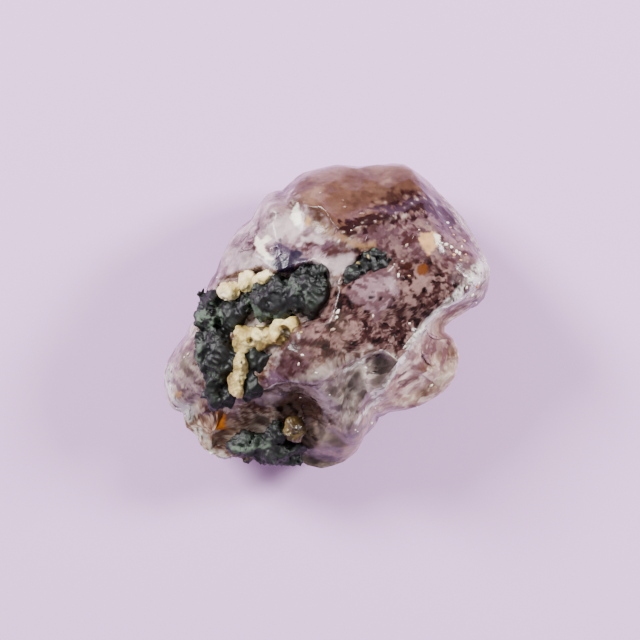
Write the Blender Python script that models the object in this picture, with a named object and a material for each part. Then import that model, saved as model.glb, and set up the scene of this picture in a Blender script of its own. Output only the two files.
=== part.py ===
"""A rough crystal of scapolite, 27 mm across, with dark crusts and tan matrix grown into its hollows.

The stone lies on a flat patch of its back. Its frame has +Z up from that patch, +Y towards
the stone's upper edge as seen from above, and its origin below the middle of its outline.
Sizes are in millimetres until the meshes are made, which are in metres.
"""

import bmesh
import bpy
import numpy as np
from mathutils import Vector

MM = 0.001

# The stone's outline from above, as x and y, anticlockwise from its east end.
OUTLINE = [
    (13.4, 2.7), (13.4, 4.2), (12.7, 5.9), (12.2, 6.9), (11.0, 8.8), (9.3, 10.3), (7.4, 12.1), (6.6, 12.6),
    (5.1, 12.6), (3.7, 12.6), (2.9, 12.5), (0.9, 12.5), (-0.8, 12.1), (-2.0, 11.6), (-2.7, 11.0), (-3.4, 10.3),
    (-4.0, 10.3), (-4.6, 10.1), (-5.2, 9.4), (-5.9, 8.0), (-7.0, 7.1), (-7.9, 5.8), (-9.0, 3.8), (-10.5, 1.1),
    (-11.7, -1.5), (-13.1, -3.7), (-13.4, -4.6), (-13.3, -6.7), (-12.8, -7.6), (-11.9, -8.0), (-11.9, -8.6),
    (-11.8, -9.3), (-11.0, -10.1), (-10.7, -10.9), (-9.8, -11.7), (-8.4, -12.2), (-7.1, -11.9), (-5.2, -12.1),
    (-3.7, -12.2), (-2.7, -11.9), (-1.5, -12.5), (-0.2, -12.7), (1.6, -12.1), (2.6, -11.1), (3.3, -10.0),
    (4.0, -9.3), (4.4, -8.4), (5.5, -8.0), (6.8, -7.9), (8.9, -7.3), (10.2, -6.5), (11.1, -5.1), (11.5, -3.4),
    (11.3, -2.3), (10.9, -1.5), (10.2, -1.0), (10.7, -0.4), (11.6, 0.4), (12.4, 1.1), (13.1, 1.6),
]

# The widest level round the stone: its mean height, and how far it rises and dips.
GIRDLE = 5.6
GIRDLE_SWAY = 0.9
GIRDLE_RIPPLE = 0.5

# The upper faces: a point on each, the compass direction that it falls in, and its slope in degrees.
UPPER_FACES = {
    "front": ((2.0, 0.0, 13.9), 10, 4),
    "north": ((4.0, 8.4, 13.4), 92, 36),
    "north_west": ((-2.4, 5.5, 13.0), 148, 29),
    "west": ((-5.0, -1.0, 12.5), 176, 23),
    "south_west": ((-4.6, -5.8, 11.9), 228, 42),
    "north_east": ((10.3, 6.2, 12.8), 38, 48),
}

# The faces round the back, which rise outwards from the flat patch.
UNDER_FACES = {
    "under_east": ((7.6, 1.0, 0.4), 5, 38),
    "under_north": ((2.0, 7.2, 0.4), 88, 36),
    "under_north_west": ((-5.0, 4.6, 0.4), 148, 34),
    "under_west": ((-8.2, -4.0, 0.4), 190, 40),
    "under_south": ((-2.0, -7.6, 0.4), -95, 40),
    "under_south_east": ((5.4, -5.0, 0.4), -38, 36),
}
UNDER_CUT = 1.0

# Ledges: outside each loop the stone is lower. Each point holds x, y, the step down, and the slope beyond it.
BROW = [
    (2.1, -8.6, 0.0, 0.2), (4.0, -7.4, 0.4, 0.8), (5.2, -6.3, 0.6, 1.0), (6.3, -4.8, 0.7, 1.2), (7.4, -2.3, 0.8, 1.5),
    (8.4, -1.1, 0.8, 1.5), (10.3, 1.1, 0.7, 1.3), (11.6, 2.7, 0.6, 1.0), (12.7, 4.7, 0.3, 0.6), (13.4, 6.5, 0.0, 0.0),
    (14.0, 14.0, 0.0, 0.0), (-15.0, 14.0, 0.0, 0.0), (-15.0, -15.0, 0.0, 0.0), (0.0, -14.0, 0.0, 0.0),
]
SHELF = [
    (-8.0, -8.2, 0.0, 0.2), (-5.3, -6.5, 0.3, 0.5), (-2.9, -5.1, 0.6, 0.7), (-1.0, -4.6, 0.6, 0.7), (0.1, -3.7, 0.7, 0.7),
    (1.7, -3.4, 0.7, 0.7), (3.2, -2.9, 0.7, 0.7), (4.7, -2.9, 0.6, 0.7), (5.9, -4.0, 0.4, 0.5), (7.6, -2.0, 0.0, 0.0),
    (15.0, 3.0, 0.0, 0.0), (15.0, 14.0, 0.0, 0.0), (-15.0, 14.0, 0.0, 0.0), (-15.0, -8.0, 0.0, 0.0),
]
DOME = [
    (-4.2, 12.0, 0.6, 0.0), (-3.4, 10.3, 0.6, 0.0), (-2.1, 9.5, 0.6, 0.0), (-0.6, 8.6, 0.5, 0.0), (0.9, 7.5, 0.4, 0.0),
    (2.6, 5.8, 0.0, 0.0), (15.0, 5.0, 0.0, 0.0), (15.0, 14.0, 0.0, 0.0), (-4.0, 14.0, 0.3, 0.0),
]
LEDGE_WIDTH = 0.45
DOME_REACH = 5.0

# Swellings of the stone: centre x and y, crest height, two radii, turn in degrees, and how far the dome falls.
SWELLINGS = {
    "east_shoulder": (12.0, 3.2, 9.2, 2.2, 3.4, 20, 3.5),
    "south_east_lobe": (8.2, -4.3, 9.4, 3.9, 3.6, 30, 4.6),
    "south_lobe": (0.8, -9.8, 8.6, 3.9, 3.2, 20, 4.4),
    "south_west_lobe": (-9.6, -9.8, 7.0, 2.8, 2.2, -40, 3.0),
    "west_lobe": (-12.0, -5.6, 7.6, 2.2, 2.6, 0, 3.0),
    "north_west_knob": (-4.3, 9.0, 11.4, 1.8, 1.8, 0, 2.0),
}

# The hollow that the crusts fill, and the arched hollow under the shelf, which is cut like a lump.
POCKET = [
    (-9.9, 1.7), (-8.6, 3.4), (-5.2, 4.2), (-4.2, 3.6), (-1.0, 4.6), (0.4, 3.9), (1.1, 2.2), (0.3, -0.2),
    (-2.3, -1.0), (-5.2, -5.2), (-5.6, -6.9), (-7.9, -7.8), (-9.6, -7.1), (-10.4, -3.9), (-10.8, -0.9),
]
POCKET_DEPTH = 3.0
POCKET_TOP = 20.0
ARCH = (-2.1, -8.7, 9.5, 2.2, 2.0, 1.7, 0)

# Curved chips all over the stone, where it broke: how many, how deep and how tilted.
CHIPS = 150
CHIP_DEPTH = 0.5
CHIP_TILT = 0.26
CHIP_FLATNESS = 3.0

# How many squares each side of the starting cube is parted in, and how far the equator leans down.
SIDE_SQUARES = 18
EQUATOR_LEAN = np.radians(28)

# Lumps: centre x, y, z, three radii, and turn in degrees about Z.
DARK_CRUST = [
    (-3.9, 1.6, 11.1, 2.4, 1.9, 1.9, 10),
    (-1.1, 2.1, 12.1, 1.9, 2.1, 1.7, 0),
    (-0.8, 3.8, 12.6, 1.0, 0.9, 0.9, 0),
    (-7.4, 0.3, 9.9, 1.6, 1.3, 1.3, 20),
    (-9.4, 1.4, 9.4, 0.9, 0.9, 0.8, 0),
    (-9.7, -0.1, 9.4, 1.1, 1.0, 1.0, 30),
    (-9.0, -2.7, 9.2, 1.6, 2.2, 1.5, 0),
    (-8.9, -5.0, 8.9, 1.1, 1.2, 1.1, 0),
    (-8.7, -6.4, 8.9, 1.3, 1.1, 1.0, -20),
    (-6.9, -3.4, 9.3, 1.6, 1.5, 1.3, 0),
    (-5.0, -3.4, 10.0, 1.5, 1.5, 1.2, 40),
    (-5.9, -5.5, 9.9, 0.9, 1.4, 1.0, -20),
]
UPPER_DARK_LUMP = [
    (2.1, 3.3, 12.9, 1.1, 0.8, 0.8, 35),
    (3.5, 4.4, 12.9, 1.3, 1.0, 0.9, 40),
    (4.7, 4.6, 12.9, 0.9, 0.7, 0.8, -20),
]
LOWER_DARK_CRUST = [
    (-6.4, -10.8, 6.3, 1.6, 1.1, 1.2, 0),
    (-4.4, -10.9, 6.3, 1.7, 1.4, 1.4, 0),
    (-4.1, -9.6, 7.5, 0.9, 0.9, 0.9, 0),
    (-2.9, -11.2, 6.1, 1.2, 1.0, 1.1, 0),
]
UPPER_TAN_GRAINS = [
    (-7.8, 2.2, 10.3, 0.9, 0.8, 0.8, 0),
    (-6.4, 2.9, 10.8, 0.8, 0.9, 0.9, 0),
    (-4.7, 3.4, 11.6, 1.3, 0.6, 0.7, 35),
]
TAN_MATRIX = [
    (-6.4, -1.8, 10.5, 1.1, 1.0, 1.1, 0),
    (-4.9, -1.6, 11.1, 1.2, 0.9, 1.0, 10),
    (-3.4, -1.0, 11.8, 1.2, 0.9, 1.0, 30),
]
TAN_MATRIX_PITS = [(-6.0, -1.9, 11.6, 0.4, 0.35, 0.5, 0), (-3.2, -1.1, 12.8, 0.6, 0.4, 0.5, -35)]
LOWER_TAN_MATRIX = [
    (-6.9, -4.0, 10.7, 0.6, 1.3, 0.7, 0),
    (-7.3, -5.6, 10.4, 0.6, 1.1, 0.8, 20),
]
OLIVE_CRUMB = [(-2.5, -9.3, 8.1, 0.9, 1.1, 0.9, 0)]

LARGE_LUMP = 1.7
CLEARANCE = 0.4

FINISHES = {
    "scapolite": ((0.24, 0.13, 0.14), 0.15),
    "dark_crust": ((0.010, 0.012, 0.013), 0.35),
    "tan_matrix": ((0.46, 0.33, 0.15), 0.5),
    "olive_matrix": ((0.20, 0.14, 0.05), 0.45),
}


def clear_scene():
    """Remove whatever the scene holds."""
    for obj in list(bpy.context.scene.objects):
        bpy.data.objects.remove(obj, do_unlink=True)


def make_collection(name, hidden=False):
    """Add a collection to the scene; a hidden one holds cutters."""
    collection = bpy.data.collections.new(name)
    collection.hide_render = hidden
    bpy.context.scene.collection.children.link(collection)
    return collection


def waves(points, length, seed, count=14):
    """A sum of sine waves in random directions, about one wave per length, near 1 in size."""
    rng = np.random.default_rng(seed)
    pitch = rng.normal(size=(count, points.shape[1]))
    pitch *= 2 * np.pi / length / np.linalg.norm(pitch, axis=1, keepdims=True)
    pitch *= rng.uniform(0.6, 1.4, (count, 1))
    phase = rng.uniform(0, 2 * np.pi, count)
    return np.sin(points @ pitch.T + phase).sum(1) * np.sqrt(2 / count)


def soft_max(layers, blend):
    """The highest of several heights, with its creases rounded over about the blend."""
    stack = np.stack(layers)
    top = stack.max(0)
    return top + blend * np.log(np.exp((stack - top) / blend).sum(0))


def smooth_step(value):
    """A soft ramp from 0 to 1 as the value goes from 0 to 1."""
    t = np.clip(value, 0, 1)
    return t * t * (3 - 2 * t)


def loop_distance(x, y, loop):
    """Distance inside a closed loop (negative outside), with the loop's own further values at the nearest point."""
    loop = np.array(loop, float)
    a = loop[:, :2]
    b = np.roll(a, -1, 0)
    step = b - a
    from_a = np.stack([x, y], 1)[:, None, :] - a[None]
    t = np.clip((from_a * step).sum(2) / (step * step).sum(1), 0, 1)
    away = np.linalg.norm(from_a - step * t[..., None], axis=2)
    nearest = away.argmin(1)
    row = np.arange(len(nearest))
    below_a = a[:, 1] <= y[:, None]
    below_b = b[:, 1] <= y[:, None]
    rise = np.where(step[:, 1] == 0, 1e-9, step[:, 1])
    crossing = a[:, 0] + from_a[..., 1] * step[:, 0] / rise
    inside = ((below_a != below_b) & (x[:, None] < crossing)).sum(1) % 2 == 1
    distance = np.where(inside, 1, -1) * away[row, nearest]
    values = loop[:, 2:]
    share = t[row, nearest][:, None]
    return distance, values[nearest] * (1 - share) + np.roll(values, -1, 0)[nearest] * share


def plane_height(face, x, y):
    """Height of a tilted plane over x and y; its slope is positive where it falls along its direction."""
    (px, py, pz), heading, slope = face
    turn = np.radians(heading)
    return pz - np.tan(np.radians(slope)) * ((x - px) * np.cos(turn) + (y - py) * np.sin(turn))


def outline_radius(angle):
    """Distance from the origin to the outline at each angle."""
    points = np.array(OUTLINE)
    angles = np.arctan2(points[:, 1], points[:, 0])
    return np.interp(angle, angles, np.hypot(points[:, 0], points[:, 1]), period=2 * np.pi)


def upper_height(x, y):
    """Height of the stone's upper side: the lowest of its faces, less its ledges, with its swellings on top."""
    flat = np.stack([x, y], 1)
    wx = x + 0.4 * waves(flat, 6.0, 11)
    wy = y + 0.4 * waves(flat, 6.0, 13)
    height = -soft_max([-plane_height(face, wx, wy) for face in UPPER_FACES.values()], 0.15)
    for ledge, reach in ((BROW, None), (SHELF, None), (DOME, DOME_REACH)):
        distance, values = loop_distance(x + 0.2 * (wx - x), y + 0.2 * (wy - y), ledge)
        outside = np.maximum(-distance, 0)
        step = values[:, 0] * smooth_step(outside / LEDGE_WIDTH)
        height = height - (step * np.exp(-outside / reach) if reach else step + values[:, 1] * outside)
    swellings = []
    for cx, cy, crest, long, short, turn, fall in SWELLINGS.values():
        turn = np.radians(turn)
        u = ((wx - cx) * np.cos(turn) + (wy - cy) * np.sin(turn)) / long
        v = ((wy - cy) * np.cos(turn) - (wx - cx) * np.sin(turn)) / short
        swellings.append(crest - fall * (u * u + v * v) * 0.75)
    return soft_max([height] + swellings, 0.2)


def under_height(x, y):
    """Height of the stone's back: the highest of its faces, and level below the flat patch."""
    flat = np.stack([x, y], 1)
    wx = x + 0.4 * waves(flat, 7.5, 21)
    wy = y + 0.4 * waves(flat, 7.5, 23)
    rising = [plane_height((point, heading, -slope), wx, wy) for point, heading, slope in UNDER_FACES.values()]
    return soft_max([np.full_like(x, -UNDER_CUT)] + rising, 0.2)


def stone_surface(directions):
    """Points of the whole stone, without hollows or chips, for directions from its middle, and how near its edge."""
    angle = np.arctan2(directions[:, 1], directions[:, 0])
    lean = np.arccos(np.clip(directions[:, 2], -1, 1))
    edge = np.pi / 2 + EQUATOR_LEAN
    upper = lean < edge
    turn = np.where(upper, lean / edge, (np.pi - lean) / (np.pi - edge)) * np.pi / 2
    share = np.sin(turn)
    reach = outline_radius(angle) * share
    x = reach * np.cos(angle)
    y = reach * np.sin(angle)
    girdle = GIRDLE + GIRDLE_SWAY * np.cos(angle - np.radians(80)) + GIRDLE_RIPPLE * np.sin(3 * angle + 1)
    close_top = np.sqrt(np.clip(1 - share ** 9, 0, 1))
    close_low = np.sqrt(np.clip(1 - share ** 6, 0, 1))
    top = girdle + (np.maximum(upper_height(x, y), girdle + 0.3) - girdle) * close_top
    low = girdle - (girdle - np.minimum(under_height(x, y), girdle - 0.3)) * close_low
    return np.stack([x, y, np.where(upper, top, low)], 1), share


def chips(points, count, seed):
    """Shallow scallops with sharp ridges between them: how far each point stands above their mean."""
    rng = np.random.default_rng(seed)
    directions = rng.normal(size=(count, 3))
    directions /= np.linalg.norm(directions, axis=1, keepdims=True)
    centres, _ = stone_surface(directions)
    size = np.sqrt(1500 / count)
    radius = size * CHIP_FLATNESS
    tilt = rng.normal(size=(count, 3)) * CHIP_TILT
    rise = rng.uniform(-0.1, 0.1, count) * size
    constant = rise - (tilt * centres).sum(1) - (centres * centres).sum(1) / (2 * radius)
    envelope = (points @ (tilt + centres / radius).T + constant).max(1)
    depth = (points * points).sum(1) / (2 * radius) - envelope
    return (depth - depth.mean()) / depth.std()


def give_finish(obj, name):
    """Give the object a material of its own in the named finish."""
    colour, roughness = FINISHES[name]
    material = bpy.data.materials.new(obj.name)
    material.use_nodes = True
    shader = material.node_tree.nodes["Principled BSDF"]
    shader.inputs["Base Color"].default_value = (*colour, 1)
    shader.inputs["Roughness"].default_value = roughness
    shader.inputs["Metallic"].default_value = 0
    obj.data.materials.clear()
    obj.data.materials.append(material)


def add_object(name, bm, collection):
    """Make an object in the collection from a bmesh in metres."""
    mesh = bpy.data.meshes.new(name)
    bm.to_mesh(mesh)
    bm.free()
    obj = bpy.data.objects.new(name, mesh)
    collection.objects.link(obj)
    return obj


def move_vertices(bm, points):
    """Set the bmesh's vertices to the points, given in millimetres."""
    for vertex, point in zip(bm.verts, points * MM):
        vertex.co = point


def make_crystal(collection):
    """The scapolite itself: a parted cube blown up to the stone's form, chipped and cut flat below."""
    bm = bmesh.new()
    bmesh.ops.create_cube(bm, size=2)
    bmesh.ops.subdivide_edges(bm, edges=bm.edges[:], cuts=SIDE_SQUARES - 1, use_grid_fill=True)
    cube = np.array([vertex.co for vertex in bm.verts])
    directions = np.tan(cube * np.pi / 4)
    directions /= np.linalg.norm(directions, axis=1, keepdims=True)
    points, share = stone_surface(directions)
    move_vertices(bm, points)
    bm.normal_update()
    outward = np.array([vertex.normal for vertex in bm.verts])
    kept = 1 - 0.75 * smooth_step((share - 0.93) / 0.07)
    points = points + outward * (CHIP_DEPTH * kept * chips(points, CHIPS, 1))[:, None]
    move_vertices(bm, points)
    geometry = bm.verts[:] + bm.edges[:] + bm.faces[:]
    cut = bmesh.ops.bisect_plane(bm, geom=geometry, plane_co=(0, 0, 0), plane_no=(0, 0, 1), clear_inner=True)
    rim = [part for part in cut["geom_cut"] if isinstance(part, bmesh.types.BMEdge)]
    bmesh.ops.edgenet_fill(bm, edges=rim)
    bmesh.ops.recalc_face_normals(bm, faces=bm.faces)
    return add_object("scapolite_crystal", bm, collection)


def make_lump(name, lump, collection, grown=0.0, seed=0):
    """One knobbly lump: an icosphere stretched to its radii and roughened."""
    x, y, z, long, short, high, turn = lump
    bm = bmesh.new()
    bmesh.ops.create_icosphere(bm, subdivisions=3 if long * short > LARGE_LUMP ** 2 else 2, radius=1)
    sphere = np.array([vertex.co for vertex in bm.verts])
    knobs = 1 + 0.10 * waves(sphere, 1.3, seed)
    points = sphere * (np.array([long, short, high]) * knobs[:, None] + grown)
    turn = np.radians(turn)
    spin = np.array([[np.cos(turn), -np.sin(turn), 0], [np.sin(turn), np.cos(turn), 0], [0, 0, 1]])
    move_vertices(bm, points @ spin.T + np.array([x, y, z]))
    return add_object(name, bm, collection)


def make_pocket(collection):
    """The cutter for the pocket: its loop drawn on the sloping floor and raised past the stone's top."""
    x, y = np.array(POCKET).T
    floor = plane_height(UPPER_FACES["west"], x, y) - POCKET_DEPTH
    bm = bmesh.new()
    corners = [bm.verts.new(Vector(corner) * MM) for corner in zip(x, y, floor)]
    raised = bmesh.ops.extrude_face_region(bm, geom=[bm.faces.new(corners)])
    for part in raised["geom"]:
        if isinstance(part, bmesh.types.BMVert):
            part.co.z = POCKET_TOP * MM
    bmesh.ops.recalc_face_normals(bm, faces=bm.faces)
    return add_object("pocket", bm, collection)


def boolean(obj, other, operation):
    """Join the other object to this one, or cut it away, and keep the result as this object's mesh."""
    modifier = obj.modifiers.new(operation.lower(), "BOOLEAN")
    modifier.operation = operation
    modifier.solver = "EXACT"
    modifier.object = other
    graph = bpy.context.evaluated_depsgraph_get()
    mesh = bpy.data.meshes.new_from_object(obj.evaluated_get(graph))
    obj.modifiers.clear()
    old = obj.data
    obj.data = mesh
    bpy.data.meshes.remove(old)


def make_cluster(name, lumps, collection, grown=0.0):
    """Lumps grown together in one solid."""
    cluster = make_lump(name, lumps[0], collection, grown, seed=1)
    for number, lump in enumerate(lumps[1:], start=2):
        other = make_lump("joining", lump, collection, grown, seed=number)
        boolean(cluster, other, "UNION")
        bpy.data.objects.remove(other)
    return cluster


def hide_cutter(cutter):
    """Show a cutter as wire only, and give it back."""
    cutter.display_type = "WIRE"
    cutter.hide_render = True
    return cutter


def main():
    """Build the stone, then seat each cluster in it with a thin gap all round."""
    clear_scene()
    stone = make_collection("scapolite")
    cutters = make_collection("cutters", hidden=True)
    crystal = make_crystal(stone)
    clusters = {
        "dark_crust": (DARK_CRUST, "dark_crust"),
        "upper_dark_lump": (UPPER_DARK_LUMP, "dark_crust"),
        "lower_dark_crust": (LOWER_DARK_CRUST, "dark_crust"),
        "upper_tan_grains": (UPPER_TAN_GRAINS, "tan_matrix"),
        "tan_matrix": (TAN_MATRIX, "tan_matrix"),
        "lower_tan_matrix": (LOWER_TAN_MATRIX, "tan_matrix"),
        "olive_crumb": (OLIVE_CRUMB, "olive_matrix"),
    }
    hollow = make_pocket(cutters)
    boolean(hollow, hide_cutter(make_lump("arch", ARCH, cutters)), "UNION")
    built = {}
    for name, (lumps, finish) in clusters.items():
        built[name] = make_cluster(name, lumps, stone)
        socket = hide_cutter(make_cluster(name + "_socket", lumps, cutters, CLEARANCE))
        boolean(hollow, socket, "UNION")
        if finish == "tan_matrix":
            boolean(built["dark_crust"], socket, "DIFFERENCE")
        if name == "olive_crumb":
            boolean(built["lower_dark_crust"], socket, "DIFFERENCE")
        give_finish(built[name], finish)
    boolean(crystal, hide_cutter(hollow), "DIFFERENCE")
    give_finish(crystal, "scapolite")
    for number, pit in enumerate(TAN_MATRIX_PITS):
        boolean(built["tan_matrix"], hide_cutter(make_lump(f"pit_{number}", pit, cutters, seed=number)), "DIFFERENCE")


main()
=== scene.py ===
"""Looks of a rough scapolite crystal with dark crusts and tan matrix in its hollows.

Lengths are in millimetres until a mesh is made, which is in metres. +Z is up from the flat
patch that the stone lies on, and +Y points to its domed end, which is up in the picture.
"""
import logging
from dataclasses import dataclass, field
from enum import Enum

import bpy
import numpy as np
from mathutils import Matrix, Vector

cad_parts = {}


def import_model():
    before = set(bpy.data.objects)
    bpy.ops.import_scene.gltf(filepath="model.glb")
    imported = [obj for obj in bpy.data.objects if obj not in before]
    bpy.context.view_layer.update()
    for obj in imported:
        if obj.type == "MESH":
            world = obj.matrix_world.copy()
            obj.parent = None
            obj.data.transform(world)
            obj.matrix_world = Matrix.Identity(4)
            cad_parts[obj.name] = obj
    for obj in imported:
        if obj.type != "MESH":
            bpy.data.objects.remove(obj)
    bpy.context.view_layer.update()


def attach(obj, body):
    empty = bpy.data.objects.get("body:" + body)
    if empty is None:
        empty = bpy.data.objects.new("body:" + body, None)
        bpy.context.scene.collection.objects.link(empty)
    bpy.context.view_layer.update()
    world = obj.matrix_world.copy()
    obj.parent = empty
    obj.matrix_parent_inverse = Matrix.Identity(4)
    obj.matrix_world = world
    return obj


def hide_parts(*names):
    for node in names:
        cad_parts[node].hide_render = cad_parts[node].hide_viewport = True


LOG = logging.getLogger("scapolite")
MM = 0.001
ROOT = "root"
SCREEN_KNEE = 0.04045
HASH_STEPS = (73856093, 19349663, 83492791)
HASH_SEED_STEP = 2654435761
HASH_MIXERS = ((15, 2246822519), (13, 3266489917))
HASH_WORD = 0xFFFFFFFF
HASH_FRACTION = 0x1000000
TWIN_ROUNDING = 1e5
TONE_STRENGTH = 1.12
TONE_FLOOR = 0.001
TONE_PIVOT = 0.6
TONE_DEPTH = 1.35

Point2 = tuple[float, float]
Loop = tuple[Point2, ...]
Ledge = tuple[tuple[float, float, float, float], ...]
Face = tuple[tuple[float, float, float], float, float]
Lump = tuple[float, float, float, float, float, float, float]


def srgb(red: float, green: float, blue: float) -> np.ndarray:
    """Turn a screen colour of 0 to 255 into linear light: the fraction raised to about 2.4."""
    value = np.array([red, green, blue]) / 255
    return np.where(value <= SCREEN_KNEE, value / 12.92, ((value + 0.055) / 1.055) ** 2.4)


def smooth_step(value: np.ndarray) -> np.ndarray:
    """A soft ramp from 0 to 1: three times the square less twice the cube."""
    t = np.clip(value, 0, 1)
    return t * t * (3 - 2 * t)


def soft_max(layers: list[np.ndarray], blend: float) -> np.ndarray:
    """The highest of several heights: blend times the logarithm of their summed exponentials.

    Args:
        layers: the heights, one array for each.
        blend: how far below the highest another still counts.

    Returns:
        One height for each point.
    """
    stack = np.stack(layers)
    top = stack.max(0)
    return top + blend * np.log(np.exp((stack - top) / blend).sum(0))


def waves(points: np.ndarray, length: float, seed: int, count: int = 14) -> np.ndarray:
    """A sum of sine waves in random directions.

    Args:
        points: one row for each point.
        length: about the length of one wave.
        seed: fixes the directions and phases.
        count: how many waves are added.

    Returns:
        A value of about -2 to 2 for each point.
    """
    rng = np.random.default_rng(seed)
    pitch = rng.normal(size=(count, points.shape[1]))
    pitch *= 2 * np.pi / length / np.linalg.norm(pitch, axis=1, keepdims=True)
    pitch *= rng.uniform(0.6, 1.4, (count, 1))
    phase = rng.uniform(0, 2 * np.pi, count)
    return np.sin(points @ pitch.T + phase).sum(1) * np.sqrt(2 / count)


def cloud(points: np.ndarray, length: float, seed: int, octaves: int = 3) -> np.ndarray:
    """Waves at several lengths, each half as long and half as high as the one before."""
    return sum(waves(points, length / 2 ** k, seed + k) / 2 ** k for k in range(octaves))


def grains(points: np.ndarray, size: float, seed: int) -> tuple[np.ndarray, np.ndarray]:
    """Cells round the jittered centres of a cubic lattice.

    Args:
        points: one row of x, y and z for each point.
        size: the lattice's pitch.
        seed: fixes the jitter.

    Returns:
        A value of 0 to 1 that is the same all over a cell, and the distance to the cell's border
        over the pitch.
    """
    scaled = points / size
    home = np.floor(scaled).astype(np.int64)
    best = np.full(len(points), 9.0)
    second = best.copy()
    value = np.zeros(len(points))
    for shift in np.stack(np.meshgrid(*[(-1, 0, 1)] * 3), -1).reshape(-1, 3):
        cell = home + shift
        steps = cell * HASH_STEPS
        key = steps[:, 0] ^ steps[:, 1] ^ steps[:, 2] ^ seed * HASH_SEED_STEP
        draws = []
        for _ in range(4):
            for places, factor in HASH_MIXERS:
                key = (key ^ (key >> places)) * factor & HASH_WORD
            draws.append((key & (HASH_FRACTION - 1)) / HASH_FRACTION)
        away = np.linalg.norm(cell + np.stack(draws[:3], 1) - scaled, axis=1)
        nearer = away < best
        second = np.where(nearer, best, np.minimum(second, away))
        value = np.where(nearer, draws[3], value)
        best = np.minimum(best, away)
    return value, second - best


def line_distance(x: np.ndarray, y: np.ndarray, points: np.ndarray,
                  closed: bool) -> tuple[np.ndarray, np.ndarray]:
    """Distance to a line of points, and the line's own further values at the nearest place.

    Args:
        x: east of each asked point.
        y: north of each asked point.
        points: rows of x, y and any further values.
        closed: whether the last point joins the first.

    Returns:
        The distances, and the further values, mixed along the line.
    """
    ends = np.roll(points, -1, 0)
    count = len(points) if closed else len(points) - 1
    nearest = np.full(len(x), np.inf)
    values = np.zeros((len(x), points.shape[1] - 2))
    for a, b in zip(points[:count], ends[:count]):
        step = b[:2] - a[:2]
        share = np.clip(((x - a[0]) * step[0] + (y - a[1]) * step[1]) / (step @ step), 0, 1)
        away = np.hypot(x - a[0] - share * step[0], y - a[1] - share * step[1])
        nearer = away < nearest
        nearest = np.where(nearer, away, nearest)
        mixed = a[2:] + share[:, None] * (b[2:] - a[2:])
        values = np.where(nearer[:, None], mixed, values)
    return nearest, values


def loop_distance(x: np.ndarray, y: np.ndarray, points: np.ndarray) -> tuple[np.ndarray, np.ndarray]:
    """Distance inside a closed loop, by counting the sides that a ray to the east crosses.

    Args:
        x: east of each asked point.
        y: north of each asked point.
        points: rows of x, y and any further values.

    Returns:
        The distances, negative outside, and the further values at the nearest place on the loop.
    """
    away, values = line_distance(x, y, points, True)
    inside = np.zeros(len(x), bool)
    for a, b in zip(points, np.roll(points, -1, 0)):
        if a[1] != b[1]:
            across = a[0] + (y - a[1]) * (b[0] - a[0]) / (b[1] - a[1])
            inside ^= ((a[1] <= y) != (b[1] <= y)) & (x < across)
    return np.where(inside, away, -away), values


def plane_height(face: Face, x: np.ndarray, y: np.ndarray) -> np.ndarray:
    """Height of a tilted plane: its point's height less the slope's tangent times the way along.

    Args:
        face: a point of the plane, the heading it falls towards and its slope, in degrees.
        x: east of each asked point.
        y: north of each asked point.

    Returns:
        The plane's height at each point.
    """
    (px, py, pz), heading, slope = face
    turn = np.radians(heading)
    return pz - np.tan(np.radians(slope)) * ((x - px) * np.cos(turn) + (y - py) * np.sin(turn))


def cube_sphere(squares: int) -> tuple[np.ndarray, np.ndarray]:
    """A cube with a grid on each side, blown up to a ball.

    Args:
        squares: how many squares lie along each edge.

    Returns:
        Directions of length 1, and quads that face outwards.
    """
    line = np.tan(np.linspace(-np.pi / 4, np.pi / 4, squares + 1))
    a, b = np.meshgrid(line, line, indexing="ij")
    one = np.ones_like(a)
    sides = [(one, a, b), (-one, b, a), (b, one, a), (a, -one, b), (a, b, one), (b, a, -one)]
    points = np.concatenate([np.stack(side, -1).reshape(-1, 3) for side in sides])
    index = np.arange((squares + 1) ** 2).reshape(squares + 1, squares + 1)
    quad = np.stack([index[:-1, :-1], index[1:, :-1], index[1:, 1:], index[:-1, 1:]], -1).reshape(-1, 4)
    quads = np.concatenate([quad + side * (squares + 1) ** 2 for side in range(6)])
    key = np.round(points * TWIN_ROUNDING).astype(np.int64)
    _, first, twin = np.unique(key, axis=0, return_index=True, return_inverse=True)
    points = points[first]
    return points / np.linalg.norm(points, axis=1, keepdims=True), twin.reshape(-1)[quads]


def outward_normals(points: np.ndarray, quads: np.ndarray) -> np.ndarray:
    """Each vertex's normal: the summed cross products of its quads' diagonals, brought to length 1.

    Args:
        points: the vertices.
        quads: rows of four vertex numbers.

    Returns:
        A direction for each vertex.
    """
    first = points[quads[:, 2]] - points[quads[:, 0]]
    second = points[quads[:, 3]] - points[quads[:, 1]]
    cross = np.cross(first, second)
    corner = quads.reshape(-1)
    each = np.repeat(cross, 4, axis=0)
    normal = np.stack([np.bincount(corner, each[:, axis], len(points)) for axis in range(3)], 1)
    return normal / np.maximum(np.linalg.norm(normal, axis=1, keepdims=True), 1e-12)


def make_piece(name: str, points: np.ndarray, faces: np.ndarray, smooth: bool = True) -> bpy.types.Object:
    """Make an object at the origin.

    Args:
        name: the piece's name.
        points: the vertices, in millimetres.
        faces: rows of vertex numbers, all of one length.
        smooth: whether the faces are shaded smooth.

    Returns:
        The new object, with its place in its mesh.
    """
    mesh = bpy.data.meshes.new(name)
    corners = faces.shape[1]
    mesh.vertices.add(len(points))
    mesh.vertices.foreach_set("co", (points * MM).astype(np.float32).ravel())
    mesh.loops.add(faces.size)
    mesh.loops.foreach_set("vertex_index", faces.astype(np.int32).ravel())
    mesh.polygons.add(len(faces))
    mesh.polygons.foreach_set("loop_start", np.arange(0, faces.size, corners, dtype=np.int32))
    mesh.update(calc_edges=True)
    mesh.validate()
    if smooth:
        mesh.shade_smooth()
    obj = bpy.data.objects.new(name, mesh)
    bpy.context.scene.collection.objects.link(obj)
    return obj


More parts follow.
